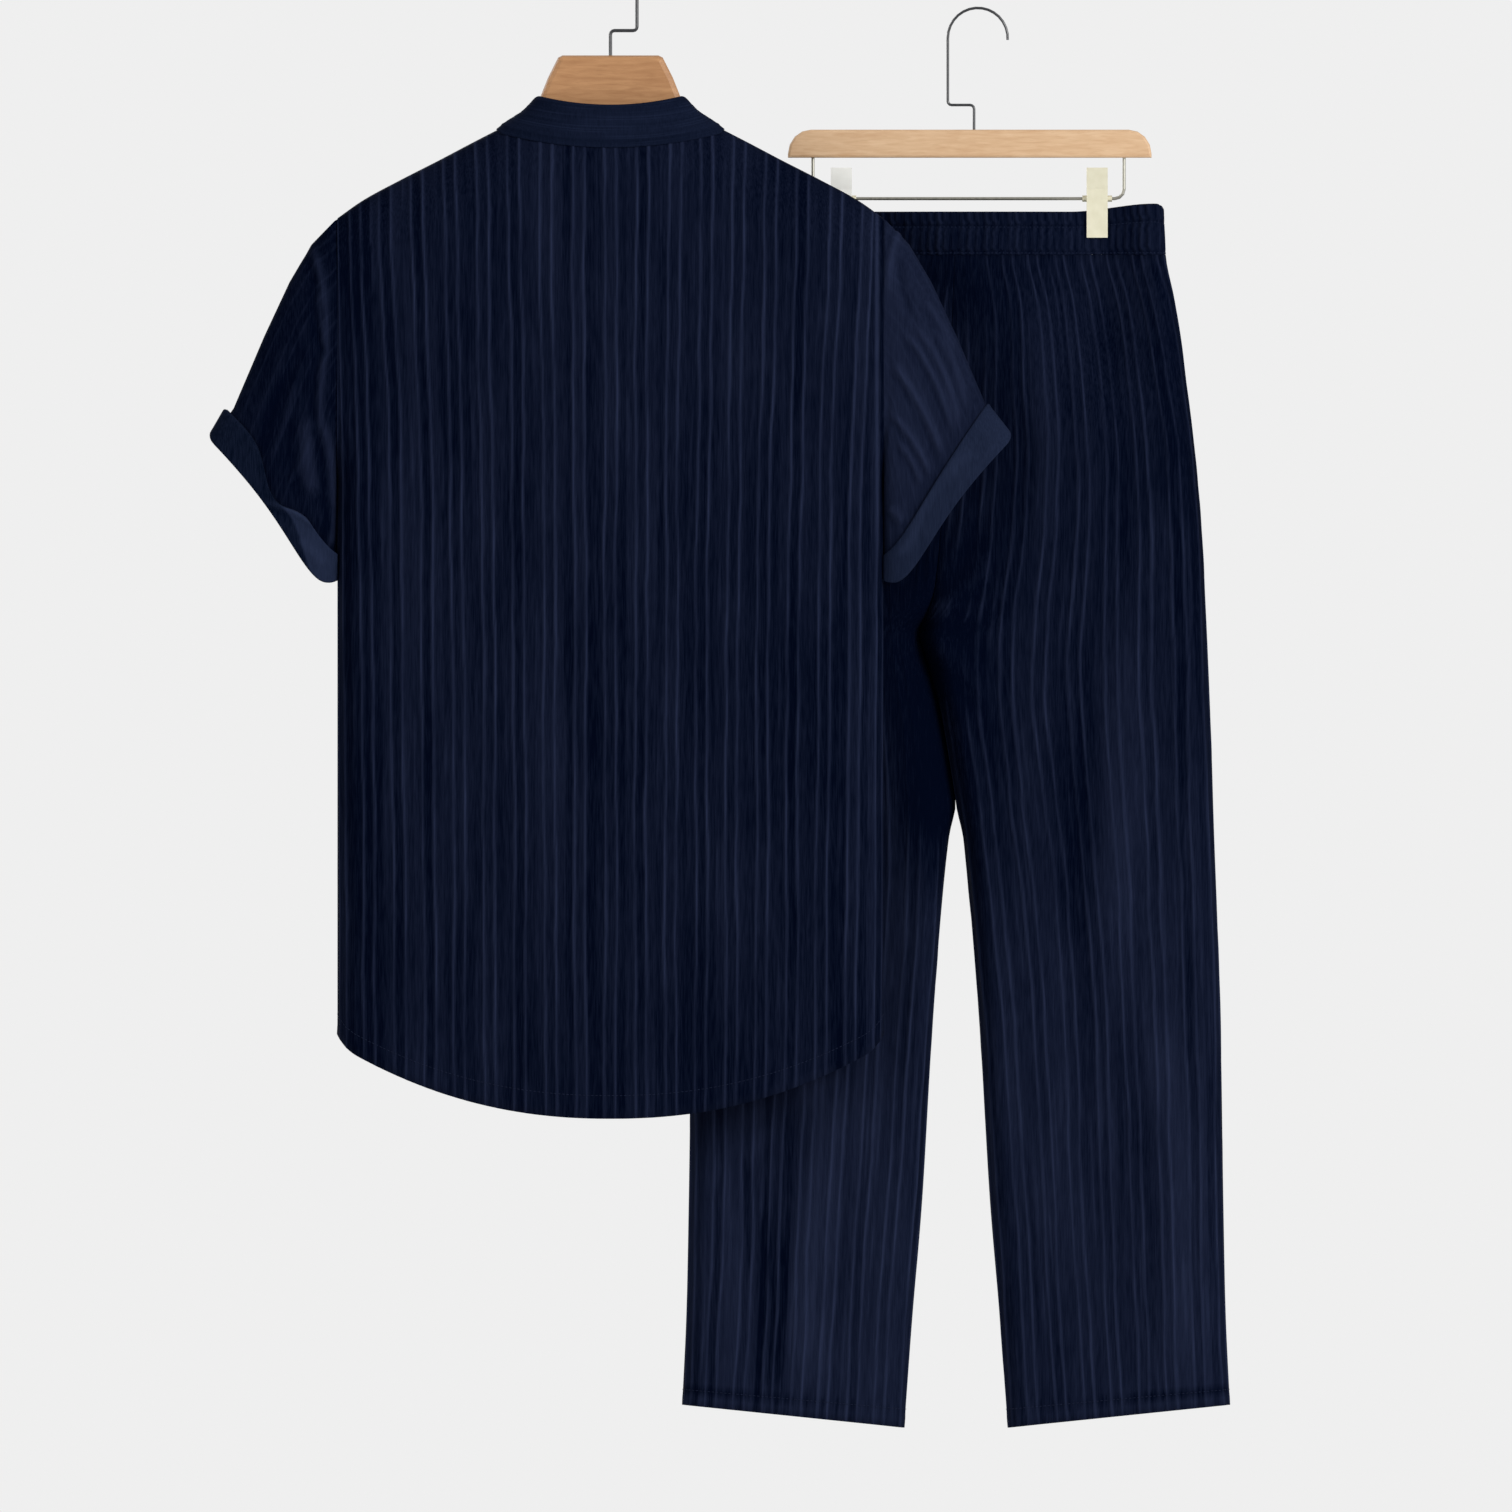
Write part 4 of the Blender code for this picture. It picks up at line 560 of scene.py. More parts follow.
def button_mesh():
    """A turned button whose middle is a flat well with four holes through it."""
    bm = bmesh.new()
    turns = [math.tau * turn / BUTTON_TURNS for turn in range(BUTTON_TURNS)]

    def join(near, far, finish=0):
        for index in range(len(near)):
            after = (index + 1) % len(near)
            bm.faces.new((near[index], near[after], far[after], far[index])).material_index = finish

    rings = [[bm.verts.new((step.radius * math.cos(turn), step.height, step.radius * math.sin(turn)))
              for turn in turns] for step in BUTTON_PROFILE]
    for first, second in zip(rings, rings[1:]):
        join(first, second)
    centres = [(x, z) for x in (-HOLE_OFFSET, HOLE_OFFSET) for z in (-HOLE_OFFSET, HOLE_OFFSET)]
    holes = []
    for outer, height in ((rings[0], BUTTON_PROFILE[0].height), (rings[-1], BUTTON_PROFILE[-1].height)):
        rims = [[bm.verts.new((x + HOLE_RADIUS * math.cos(turn), height, z + HOLE_RADIUS * math.sin(turn)))
                 for turn in turns[::HOLE_EVERY]] for x, z in centres]
        edges = [bm.edges.get((outer[i], outer[(i + 1) % BUTTON_TURNS])) for i in range(BUTTON_TURNS)]
        for rim in rims:
            edges += [bm.edges.new((rim[i], rim[(i + 1) % len(rim)])) for i in range(len(rim))]
        bmesh.ops.triangle_fill(bm, edges=edges, use_beauty=True, use_dissolve=False)
        holes.append(rims)
    for above, below in zip(*holes):
        join(above, below)
    for first, last in ((centres[0], centres[3]), (centres[1], centres[2])):
        reach = Vector((last[0] - first[0], 0, last[1] - first[1])) / 2
        side = Vector((-reach.z, 0, reach.x)).normalized() * THREAD_RADIUS * STRAND_APART
        for strand in (-1, 1):
            loops = []
            for step in range(2 * STRAND_STEPS + 1):
                along = -1 + step / STRAND_STEPS
                rise = 0.55 + 0.75 * (1 - along**4) - 0.9 * (abs(along) == 1)
                middle = reach * along + side * strand + Vector((0, rise, 0))
                loops.append([bm.verts.new(middle + side.normalized() * THREAD_RADIUS * math.cos(turn)
                                           + Vector((0, 1, 0)) * THREAD_RADIUS * math.sin(turn))
                              for turn in turns[::STRAND_EVERY]])
            for near, far in zip(loops, loops[1:]):
                join(near, far, 1)
    bmesh.ops.recalc_face_normals(bm, faces=bm.faces)
    bmesh.ops.scale(bm, vec=(MM, MM, MM), verts=bm.verts)
    mesh = bpy.data.meshes.new("shirt_button")
    bm.to_mesh(mesh)
    bm.free()
    mesh.polygons.foreach_set("use_smooth", [True] * len(mesh.polygons))
    mesh.materials.append(resin)
    mesh.materials.append(navy_thread)
    return mesh


button = button_mesh()
for name in [f"shirt_button_{count + 1}" for count in range(BUTTON_COUNT)] + ["shirt_button_collar"]:
    low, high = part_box(name)
    sewn = bpy.data.objects.new(name + "_resin", button.copy())
    sewn.location = (Vector(low) + Vector(high)) / 2
    bpy.context.scene.collection.objects.link(sewn)
    wear(sewn, "navy_button", name)

# Collar
# A stand and a turned-down leaf of the pleated cloth, cut crosswise so that its fine lines run round the neck,
# fused to a stiffening and topstitched along the leaf's edge.
STAND_CLEAR = 1.0
STAND_FRONT_CLEAR = 3.7
STAND_WALL = 1.6
LEAF_WALL = 0.9
FOLD_HALF_WIDTH = 60.0
FOLD_HALF_DEPTH = 25.0
FOLD_SIDE_Z = -138.6
FOLD_BACK_Z = -146.0
FOLD_FRONT_Z = -208.0
LEAF_HALF_WIDTH = 95.0
LEAF_BACK_Z = -179.0
LEAF_SIDE_Z = -166.5
LEAF_CLEAR = 0.8
LEAF_LIFT = 0.3
LEAF_FRONT_ANGLE = 9.0
LEAF_FRONT_CLEAR = 8.6
LEAF_ROWS = (0.35, 0.7)
PLACKET_CLEAR_TO = 32.0
PLACKET_CLEAR_OVER = 10.0
POINT_X = 46.0
POINT_Z = -272.0
COLLAR_STATIONS = 193
COLLAR_ROWS = 42
COLLAR_MM_PER_DEGREE = 1.3
STAND_ROWS = 16
STAND_PLEATS = 4.5
LEAF_PLEATS = 7.0
LEAF_HEM_AT = 0.86


def neck_station(angle):
    """Points of the neckline and of the collar's fold at each angle round the neck, and the way out."""
    deep = np.sin(angle)
    x = NECK_HALF_WIDTH * np.cos(angle)
    z = np.where(np.abs(deep) > 1e-6, body_top(x, deep > 0), shoulder(x))
    z = z + STAND_CLEAR + STAND_FRONT_CLEAR * np.clip(deep * 2, 0, 1)
    base = np.stack([x, NECK_HALF_DEPTH * deep, z], axis=-1)
    dip = np.where(deep > 0, FOLD_FRONT_Z, FOLD_BACK_Z)
    lower = np.abs(deep) ** np.where(deep > 0, 1.5, 2.0)
    fold = np.stack([FOLD_HALF_WIDTH * np.cos(angle), FOLD_HALF_DEPTH * deep,
                     FOLD_SIDE_Z + (dip - FOLD_SIDE_Z) * lower], axis=-1)
    out = np.stack([np.cos(angle) / FOLD_HALF_WIDTH, deep / FOLD_HALF_DEPTH, 0 * deep], axis=-1)
    return base, fold, out / np.linalg.norm(out, axis=-1, keepdims=True)


def push_off_body(points, clear):
    """Move points out, or up where that is nearer, until they are clear of the shirt's body."""
    x, y, z = (points[..., axis].copy() for axis in range(3))
    front = y > 0
    over_placket = np.clip((PLACKET_CLEAR_TO - np.abs(x)) / PLACKET_CLEAR_OVER, 0, 1)
    near = np.abs(y) - front * (PLACKET_OUT + PLACKET_WALL) * over_placket
    clear = clear + front * LEAF_FRONT_CLEAR * np.clip(np.abs(y) / NECK_HALF_DEPTH * 2, 0, 1)
    full = body_depth(x, np.full_like(x, ARMPIT_Z), front)
    depth = body_depth(x, z, front)
    top = shoulder(x) - body_arch(x, front) * (1 - np.sqrt(1 - np.clip(near / full, 0, 1) ** 2))
    out = np.where(z < shoulder(x), depth, 0.0) + clear - near
    lift = top + clear * LEAF_LIFT - z
    caught = (out > 0) & (lift > 0)
    z = z + np.where(caught & (lift < out), lift, 0)
    y = np.where(caught & (lift >= out), np.copysign(np.abs(y) + out, y), y)
    return np.stack([x, y, z], axis=-1)


def leaf_edge(angle):
    """The collar's free edge: level round the back and sides, long at the two front points."""
    across, deep = np.cos(angle), np.sin(angle)
    toward = ease(deep)
    x = np.where(deep <= 0, LEAF_HALF_WIDTH * across,
                 np.copysign(POINT_X + (LEAF_HALF_WIDTH - POINT_X) * (1 - toward), across))
    z = np.where(deep <= 0, LEAF_SIDE_Z + (LEAF_BACK_Z - LEAF_SIDE_Z) * deep**2,
                 LEAF_SIDE_Z + (POINT_Z - LEAF_SIDE_Z) * toward)
    depth = body_depth(x, np.minimum(z, shoulder(x)), deep > 0) + LEAF_CLEAR
    return np.stack([x, np.copysign(depth * np.clip(np.abs(deep) / 0.25, 0, 1), deep), z], axis=-1)


def smoothed(grid, passes):
    """Average each point with its neighbours down the grid, keeping both ends."""
    for _ in range(passes):
        grid[1:-1] = (grid[:-2] + 2 * grid[1:-1] + grid[2:]) / 4
    return grid


ends = math.radians(90 + LEAF_FRONT_ANGLE), math.radians(450 - LEAF_FRONT_ANGLE)
angles = np.linspace(*ends, COLLAR_STATIONS)
base, fold, out = neck_station(angles)
half = out * STAND_WALL / 2
round_neck = np.degrees(angles) * COLLAR_MM_PER_DEGREE
stand = np.linspace(0, 1, STAND_ROWS)[:, None, None]
grid = (base + half) * (1 - stand) + (fold + half) * stand
_, tone = pressed_pleats(np.broadcast_to(stand[..., 0] * STAND_PLEATS, grid.shape[:2]), round_neck, 0.08, 0.05)
collar_stand = sheet_piece("collar_stand_cloth", grid, tone, pressed_flat, SHIRT_PLACE, wall=STAND_WALL)
wear(collar_stand, "navy_cloth", "collar_stand")

up = np.array([0.0, 0.0, 1.0])
edge = push_off_body(leaf_edge(angles), LEAF_CLEAR)
middle = base + half + out * 1.2 + up * 1.5
spots = [fold - half + up * 1.9, fold + half * 0.3 + up * 2.6, fold + half + out * 1.0 + up * 1.9,
         fold + half + out * 2.3 + up * 0.3]
spots += [push_off_body(point + out * LEAF_WALL + up * 0.6, LEAF_CLEAR + LEAF_WALL)
          for point in [middle] + [middle + (edge - middle) * share for share in LEAF_ROWS]]
spots.append(push_off_body(edge, LEAF_CLEAR + LEAF_WALL))
spots = np.array(spots)
grid = np.stack([evenly_along(spots[:, station], np.linspace(0, 1, COLLAR_ROWS))
                 for station in range(COLLAR_STATIONS)], axis=1)
grid = smoothed(grid, 6)
grid = smoothed(grid.transpose(1, 0, 2), 5).transpose(1, 0, 2)
normals = outward(grid, False, 1)
down = np.linspace(0, 1, COLLAR_ROWS)[:, None]
height, tone = pressed_pleats(np.broadcast_to(down * LEAF_PLEATS, grid.shape[:2]), round_neck, 0.12, 0.04)
hem = ease((down - LEAF_HEM_AT) / 0.03)
groove = hump(down, LEAF_HEM_AT, 0.022)
middle_fade = ease((1 - down) / 0.05) * ease(down / 0.1)
grid = grid + normals * (0.35 * height * middle_fade * (1 - hem) + 0.25 * hem - 0.25 * groove)[..., None]
tone = np.clip(0.18 + 0.45 * tone * (1 - 0.5 * hem) - 0.1 * groove, 0, 1)
collar_leaf = sheet_piece("collar_leaf_cloth", grid, tone, pressed_flat, SHIRT_PLACE, wall=LEAF_WALL)
wear(collar_leaf, "navy_turned", "collar_leaf")
row = int(LEAF_HEM_AT * COLLAR_ROWS)
collar_stitches = stitches_on("collar_stitches", grid, normals, row, SHIRT_PLACE, 0.2)

# Sleeves
# Set-in short sleeves of the pleated cloth. Their pleats run down from the armhole to the cuff, looser than on
# the back, and the cloth puckers beside the armhole where the arm side hangs folded.
SleeveRow = namedtuple("SleeveRow", "top_x top_z under_x under_z belly half_depth")
SLEEVE = [
    SleeveRow(top_x=228.0, top_z=-238.0, under_x=227.5, under_z=-456.0, belly=0.0, half_depth=19.0),
    SleeveRow(top_x=249.0, top_z=-259.5, under_x=227.5, under_z=-468.0, belly=0.0, half_depth=20.0),
    SleeveRow(top_x=267.5, top_z=-291.0, under_x=227.3, under_z=-484.0, belly=1.0, half_depth=20.0),
    SleeveRow(top_x=288.5, top_z=-336.0, under_x=227.3, under_z=-501.0, belly=3.0, half_depth=19.0),
    SleeveRow(top_x=314.0, top_z=-396.0, under_x=227.3, under_z=-521.0, belly=6.0, half_depth=17.5),
    SleeveRow(top_x=331.0, top_z=-420.0, under_x=227.3, under_z=-536.0, belly=18.0, half_depth=17.5),
]
SLEEVE_PLEATS = 14
SLEEVE_FULLNESS = 2.4
BELLY_POWER = 3.1
SLEEVE_ROWS = 56
SLEEVE_STEPS = 18
SLEEVE_RUN = 72
SEAM_TUCK = 1.2
# How pale the cloth of each arm is painted, how high its pleats stand and how strongly their painted shade and
# highlight show
SleeveLook = namedtuple("SleeveLook", "tone pleats shine")
# The right arm is painted much paler than the left: painted light, falling from the right
SLEEVE_LOOKS = {
    "left": SleeveLook(tone=0.02, pleats=0.26, shine=0.2),
    "right": SleeveLook(tone=0.36, pleats=0.18, shine=0.17),
}
# Creases as the photo shows them: both ends, how far the line bows, its width and how far it stands out
Crease = namedtuple("Crease", "x0 z0 x1 z1 bow width height")
SLEEVE_CREASES = {
    "left": [
        Crease(x0=-248.0, z0=-262.0, x1=-237.0, z1=-345.0, bow=4.0, width=3.6, height=1.7),
        Crease(x0=-243.0, z0=-296.0, x1=-234.5, z1=-352.0, bow=-3.0, width=2.8, height=1.2),
        Crease(x0=-236.0, z0=-345.0, x1=-241.0, z1=-412.0, bow=-3.0, width=3.4, height=1.6),
        Crease(x0=-241.0, z0=-405.0, x1=-231.5, z1=-478.0, bow=3.5, width=4.6, height=1.8),
        Crease(x0=-252.0, z0=-402.0, x1=-246.0, z1=-470.0, bow=-4.0, width=7.5, height=1.6),
        Crease(x0=-231.0, z0=-470.0, x1=-235.0, z1=-512.0, bow=3.0, width=3.6, height=1.4),
        Crease(x0=-256.0, z0=-345.0, x1=-290.0, z1=-425.0, bow=-3.0, width=5.0, height=-1.0),
        Crease(x0=-262.0, z0=-372.0, x1=-284.0, z1=-440.0, bow=2.0, width=3.0, height=0.7),
        Crease(x0=-249.0, z0=-418.0, x1=-270.0, z1=-462.0, bow=2.0, width=3.0, height=0.7),
    ],
    "right": [
        Crease(x0=261.0, z0=-306.0, x1=287.0, z1=-350.0, bow=2.5, width=3.0, height=1.2),
        Crease(x0=256.0, z0=-328.0, x1=291.0, z1=-412.0, bow=5.0, width=3.2, height=1.7),
        Crease(x0=246.0, z0=-332.0, x1=286.0, z1=-416.0, bow=5.0, width=3.2, height=1.8),
        Crease(x0=235.0, z0=-358.0, x1=277.0, z1=-438.0, bow=4.0, width=3.4, height=1.9),
        Crease(x0=234.0, z0=-400.0, x1=267.0, z1=-452.0, bow=3.0, width=3.2, height=1.8),
        Crease(x0=240.0, z0=-424.0, x1=260.0, z1=-459.0, bow=2.0, width=3.0, height=1.4),
        Crease(x0=270.0, z0=-330.0, x1=296.0, z1=-396.0, bow=4.0, width=3.0, height=1.2),
        Crease(x0=242.0, z0=-246.0, x1=231.5, z1=-300.0, bow=-4.0, width=2.6, height=1.8),
        Crease(x0=242.0, z0=-268.0, x1=252.0, z1=-322.0, bow=-3.0, width=3.4, height=-1.0),
        Crease(x0=231.5, z0=-478.0, x1=244.0, z1=-492.0, bow=1.0, width=4.0, height=1.3),
    ],
}


def creased(table, x, z):
    """Height of the placed creases at each point, in millimetres."""
    total = np.zeros_like(x)
    for crease in table:
        run = np.array([crease.x1 - crease.x0, crease.z1 - crease.z0])
        length = float(np.hypot(*run))
        run = run / length
        along = ((x - crease.x0) * run[0] + (z - crease.z0) * run[1]) / length
        off = -(x - crease.x0) * run[1] + (z - crease.z0) * run[0]
        off = off - crease.bow * 4 * np.clip(along, 0, 1) * (1 - np.clip(along, 0, 1))
        fade = ease((along + 0.05) / 0.22) * ease((1.05 - along) / 0.22)
        ridge = hump(off, 0.0, crease.width) - 0.45 * hump(off, -1.7 * crease.width, crease.width)
        total += crease.height * ridge * fade
    return total


def sleeve_grid(downs, fractions, side):
    """Points of the sleeve's cloth at the given places down it, and their outward normals."""
    table = np.array(SLEEVE)
    t = rounded_run(0.0, 1.0, SLEEVE_RUN)
    rows = []
    for down in downs:
        index = int(np.clip(math.floor(down), 0, len(SLEEVE) - 2))
        row = SleeveRow(*(table[index] + (table[index + 1] - table[index]) * (down - index)))
        sag = row.belly * np.sin(math.pi * t**BELLY_POWER)
        x = row.top_x + (row.under_x - row.top_x) * t
        z = row.top_z + (row.under_z - row.top_z) * t - sag
        full = row.half_depth * (1 - np.abs(2 * t - 1) ** SLEEVE_FULLNESS) ** (1 / SLEEVE_FULLNESS)
        share = ease(down)
        depth = body_depth(np.full_like(z, BODY_HALF_WIDTH), z, False) * (1 - share) + full * share
        loop = tube_loop(x, depth, z, fractions)
        loop[:, 0] = (loop[:, 0] - SEAM_TUCK * (1 - ease(down / 0.06))) * side
        rows.append(loop)
    grid = np.array(rows)
    return grid, outward(grid, True, side)


fractions = np.arange(SLEEVE_PLEATS * SLEEVE_STEPS) / (SLEEVE_PLEATS * SLEEVE_STEPS)
downs = (len(SLEEVE) - 1) * np.linspace(0, 1, SLEEVE_ROWS)
for word, side in (("left", -1), ("right", 1)):
    plain, normals = sleeve_grid(downs, fractions, side)
    across = np.broadcast_to(fractions * SLEEVE_PLEATS + (50 if side < 0 else 90), plain.shape[:2])
    height, tone = pressed_pleats(across, plain[..., 2], 0.06, 0.07)
    facing = np.where(plain[..., 1] < 0, 1.0, 0.55)
    folds = creased(SLEEVE_CREASES[word], plain[..., 0], plain[..., 2]) * facing
    look = SLEEVE_LOOKS[word]
    start = ease(downs[:, None] / 0.12) * ease((np.abs(plain[..., 0]) - BODY_HALF_WIDTH - 0.8) / 4.0)
    lifted = plain + normals * (RIDGE * look.pleats * height * start + folds * start)[..., None]
    # Towards the cuff the cloth is painted darker, a painted shadow above the cuff; crease ridges are painted
    # paler and their hollows darker, as painted highlight and shade.
    under_cuff = ease((downs[:, None] - 3.4) / 0.5)
    tone = np.clip(look.tone + look.shine * (tone + folds) - 0.3 * look.tone * under_cuff, 0, 1)
    sleeve = sheet_piece(f"sleeve_{word}_cloth", lifted, tone, navy_pleats, SHIRT_PLACE, closed=True,
                         flip=side < 0)
    wear(sleeve, "navy_cloth", f"sleeve_{word}")

# Cuffs
# The sleeve's end turned up twice and pressed, so each cuff is a smooth double band with a rolled lower edge.
CUFF_FIRST_ROW = 3.95
CUFF_BELOW = 0.12
CUFF_WALL = 2.2
CUFF_SHELL = 0.5
CUFF_ROUND = 436
CUFF_CLEAR = 2.0
CUFF_FLARE = {"left": 2.0, "right": -1.4}
CUFF_ROWS = 30
CUFF_DIP = 0.6
CUFF_CORNER = 0.16
CUFF_CREASES = {
    "left": [
        Crease(x0=-291.0, z0=-474.0, x1=-238.0, z1=-500.0, bow=5.0, width=3.0, height=1.0),
        Crease(x0=-262.0, z0=-505.0, x1=-240.0, z1=-528.0, bow=3.0, width=5.0, height=0.8),
    ],
    "right": [
        Crease(x0=300.0, z0=-430.0, x1=262.0, z1=-476.0, bow=-2.0, width=6.0, height=0.7),
        Crease(x0=262.0, z0=-470.0, x1=240.0, z1=-520.0, bow=3.0, width=5.0, height=0.8),
    ],
}
turned_cloth = pressed_polyester("turned navy polyester", "#020818", "#2A334C", 0.8)
last = len(SLEEVE) - 1 + CUFF_BELOW
across = np.linspace(0, 1, CUFF_ROWS)
downs = CUFF_FIRST_ROW + (last - CUFF_FIRST_ROW) * np.clip((across - 0.06) / 0.88, 0, 1)
rolled = np.sqrt(np.clip(1 - (1 - np.minimum(across, 1 - across) / 0.1).clip(0, 1) ** 2, 0, 1))
below_top = 2 * np.minimum(fractions, 1 - fractions)
for word, side in (("left", -1), ("right", 1)):
    plain, normals = sleeve_grid(downs, fractions, side)
    dip = CUFF_DIP * hump(below_top, 0.47, 0.16) * (plain[0, :, 1] < 0)
    dip = (dip + 0.2 * ease(1 - below_top / 0.35)) * (side < 0)
    corner = CUFF_CORNER * np.clip(1 - below_top / 0.09, 0, 1) ** 2
    spot = (dip + (1 - dip - corner) * across[:, None]) * (CUFF_ROWS - 1)
    low = np.clip(spot.astype(int), 0, CUFF_ROWS - 2)
    part = (spot - low)[..., None]
    column = np.arange(len(fractions))[None, :]
    plain = plain[low, column] * (1 - part) + plain[low + 1, column] * part
    normals = normals[low, column] * (1 - part) + normals[low + 1, column] * part
    flare = CUFF_FLARE[word] * (1 - (downs - CUFF_FIRST_ROW) / (last - CUFF_FIRST_ROW))
    folds = creased(CUFF_CREASES[word], plain[..., 0], plain[..., 2])
    ripple = 0.3 * wander(np.broadcast_to(fractions * CUFF_ROUND, plain.shape[:2]), 0, 71, 60.0)
    patch = (side < 0) * ease((below_top - 0.5 - 0.3 * across[:, None]) / 0.05) * (plain[..., 1] < 0)
    lift = CUFF_CLEAR - 0.6 + flare[:, None] + (CUFF_WALL + 0.6) * rolled[:, None] - 0.9 * patch
    lifted = plain + normals * (lift + (folds + ripple) * rolled[:, None])[..., None]
    lifted[..., 0] = side * np.maximum(np.abs(lifted[..., 0]), BODY_HALF_WIDTH - 0.2)
    # Painted light: the right cuff is paler than the left as the light falls from the right, the left cuff's
    # lit outer patch is paler than its shaded rest, and creases and ripples take painted highlight and shade.
    band = (0.08, 0.34)[side > 0] * (1 - patch) + 0.46 * patch
    tone = band + 0.16 * folds + 0.1 * ripple + 0.1 * (1 - rolled[:, None])
    cuff = sheet_piece(f"cuff_{word}_cloth", lifted, np.clip(tone, 0, 1), turned_cloth, SHIRT_PLACE,
                       closed=True, flip=side < 0, wall=CUFF_SHELL)
    wear(cuff, "navy_turned", f"cuff_{word}")

# Trouser legs
# Four panels of the same pleated cloth, two to a leg. The fullness from the elastic waist runs into the
# pleats, and the hem is turned up once and stitched 14 mm above its edge.
TROUSER_PLACE = np.array([291.6, 68.0, 0.0])
Level = namedtuple("Level", "z outer gap half_depth edge")
TROUSERS = [
    Level(z=-226.0, outer=173.0, gap=0.0, half_depth=19.0, edge=15.0),
    Level(z=-268.0, outer=175.0, gap=0.0, half_depth=20.0, edge=16.0),
    Level(z=-306.0, outer=182.5, gap=0.0, half_depth=23.0, edge=18.0),
    Level(z=-373.0, outer=192.0, gap=0.0, half_depth=27.0, edge=20.0),
    Level(z=-455.0, outer=201.5, gap=0.0, half_depth=30.0, edge=20.0),
    Level(z=-556.0, outer=208.0, gap=0.0, half_depth=30.0, edge=20.0),
    Level(z=-690.0, outer=213.5, gap=0.0, half_depth=27.0, edge=19.0),
    Level(z=-725.0, outer=214.5, gap=0.0, half_depth=26.0, edge=19.0),
    Level(z=-756.0, outer=215.5, gap=5.0, half_depth=25.5, edge=18.0),
    Level(z=-822.0, outer=218.0, gap=11.7, half_depth=24.0, edge=18.0),
    Level(z=-924.0, outer=221.0, gap=19.2, half_depth=22.0, edge=18.0),
    Level(z=-1056.0, outer=223.0, gap=27.0, half_depth=20.5, edge=18.0),
    Level(z=-1156.0, outer=225.0, gap=35.4, half_depth=19.5, edge=18.0),
    Level(z=-1246.0, outer=228.5, gap=42.0, half_depth=19.0, edge=18.0),
]
Divide = namedtuple("Divide", "z x")
CENTRE_SEAM = [
    Divide(z=-226.0, x=0.0),
    Divide(z=-330.0, x=-4.0),
    Divide(z=-480.0, x=-12.0),
    Divide(z=-545.0, x=-18.0),
    Divide(z=-565.0, x=-24.0),
    Divide(z=-582.0, x=-31.0),
    Divide(z=-605.0, x=-25.0),
    Divide(z=-650.0, x=-13.0),
    Divide(z=-725.0, x=0.0),
]
CROTCH_Z = -582.0
CROTCH_RISE = 70.0
LEG_APART = 2.4
LEGS_PART_Z = -722.0
LEGS_PART_OVER = 24.0
TUCK = 34.0
LEG_PLEATS = 9
LEG_STEPS = 18
LEG_RUN = 160
LEG_HEM_RUN = 240
LEG_PANEL_MM = 190.0
LEG_FAINT_LINES = 2.6
INNER_DRIFT = 0.2
GUIDE_MM = 75.0
LEG_ROWS = 128
BAND_BOTTOM_Z = -267.3
LEG_HEM_INNER_Z = -1246.0
LEG_HEM_OUTER_Z = -1227.0
LEG_HEM_INNER_X = 45.0
LEG_HEM_OUTER_X = 228.0
LEG_HEM_BAND = 14.0
CLIP_X = (-95.7, 117.7)
PINCH_HALF_DEPTH = 3.4
PINCH_WIDTH = 45.0
PINCH_TOP_Z = -257.0
PINCH_END_Z = -420.0
LEG_CREASES = [
    Crease(x0=-24.0, z0=-566.0, x1=30.0, z1=-520.0, bow=-5.0, width=7.0, height=1.6),
    Crease(x0=-27.0, z0=-580.0, x1=44.0, z1=-560.0, bow=-6.0, width=7.0, height=-1.4),
    Crease(x0=-24.0, z0=-590.0, x1=26.0, z1=-640.0, bow=5.0, width=8.0, height=1.5),
    Crease(x0=-20.0, z0=-545.0, x1=12.0, z1=-470.0, bow=-4.0, width=8.0, height=1.3),
    Crease(x0=60.0, z0=-300.0, x1=74.0, z1=-520.0, bow=6.0, width=14.0, height=1.6),
    Crease(x0=120.0, z0=-300.0, x1=138.0, z1=-560.0, bow=8.0, width=16.0, height=-1.6),
    Crease(x0=150.0, z0=-480.0, x1=122.0, z1=-860.0, bow=10.0, width=20.0, height=1.8),
    Crease(x0=96.0, z0=-640.0, x1=128.0, z1=-1120.0, bow=-8.0, width=22.0, height=-1.6),
    Crease(x0=-150.0, z0=-560.0, x1=-120.0, z1=-1000.0, bow=8.0, width=20.0, height=1.6),
    Crease(x0=-96.0, z0=-960.0, x1=-120.0, z1=-1220.0, bow=-7.0, width=16.0, height=1.8),
    Crease(x0=-178.0, z0=-1010.0, x1=-160.0, z1=-1225.0, bow=5.0, width=14.0, height=-1.5),
    Crease(x0=170.0, z0=-900.0, x1=186.0, z1=-1215.0, bow=6.0, width=16.0, height=1.6),
]


def leg_edges(z, side):
    """The inner and outer edge of one half of the trousers at a height."""
    divide = read(CENTRE_SEAM, "z", "x", z) * side
    apart = LEG_APART / 2 * ease((LEGS_PART_Z - z) / LEGS_PART_OVER)
    return divide + read(TROUSERS, "z", "gap", z) + apart, read(TROUSERS, "z", "outer", z)


def clip_pinch(x, z):
    """How much of the depth is left between the clips' jaws and near them."""
    near = sum(hump(x, clip, PINCH_WIDTH) for clip in CLIP_X)
    fade = 1 - ease((PINCH_TOP_Z - z) / (PINCH_TOP_Z - PINCH_END_Z))
    full = read(TROUSERS, "z", "half_depth", np.maximum(z, PINCH_TOP_Z))
    return 1 - (1 - PINCH_HALF_DEPTH / full) * np.clip(near, 0, 1) * fade


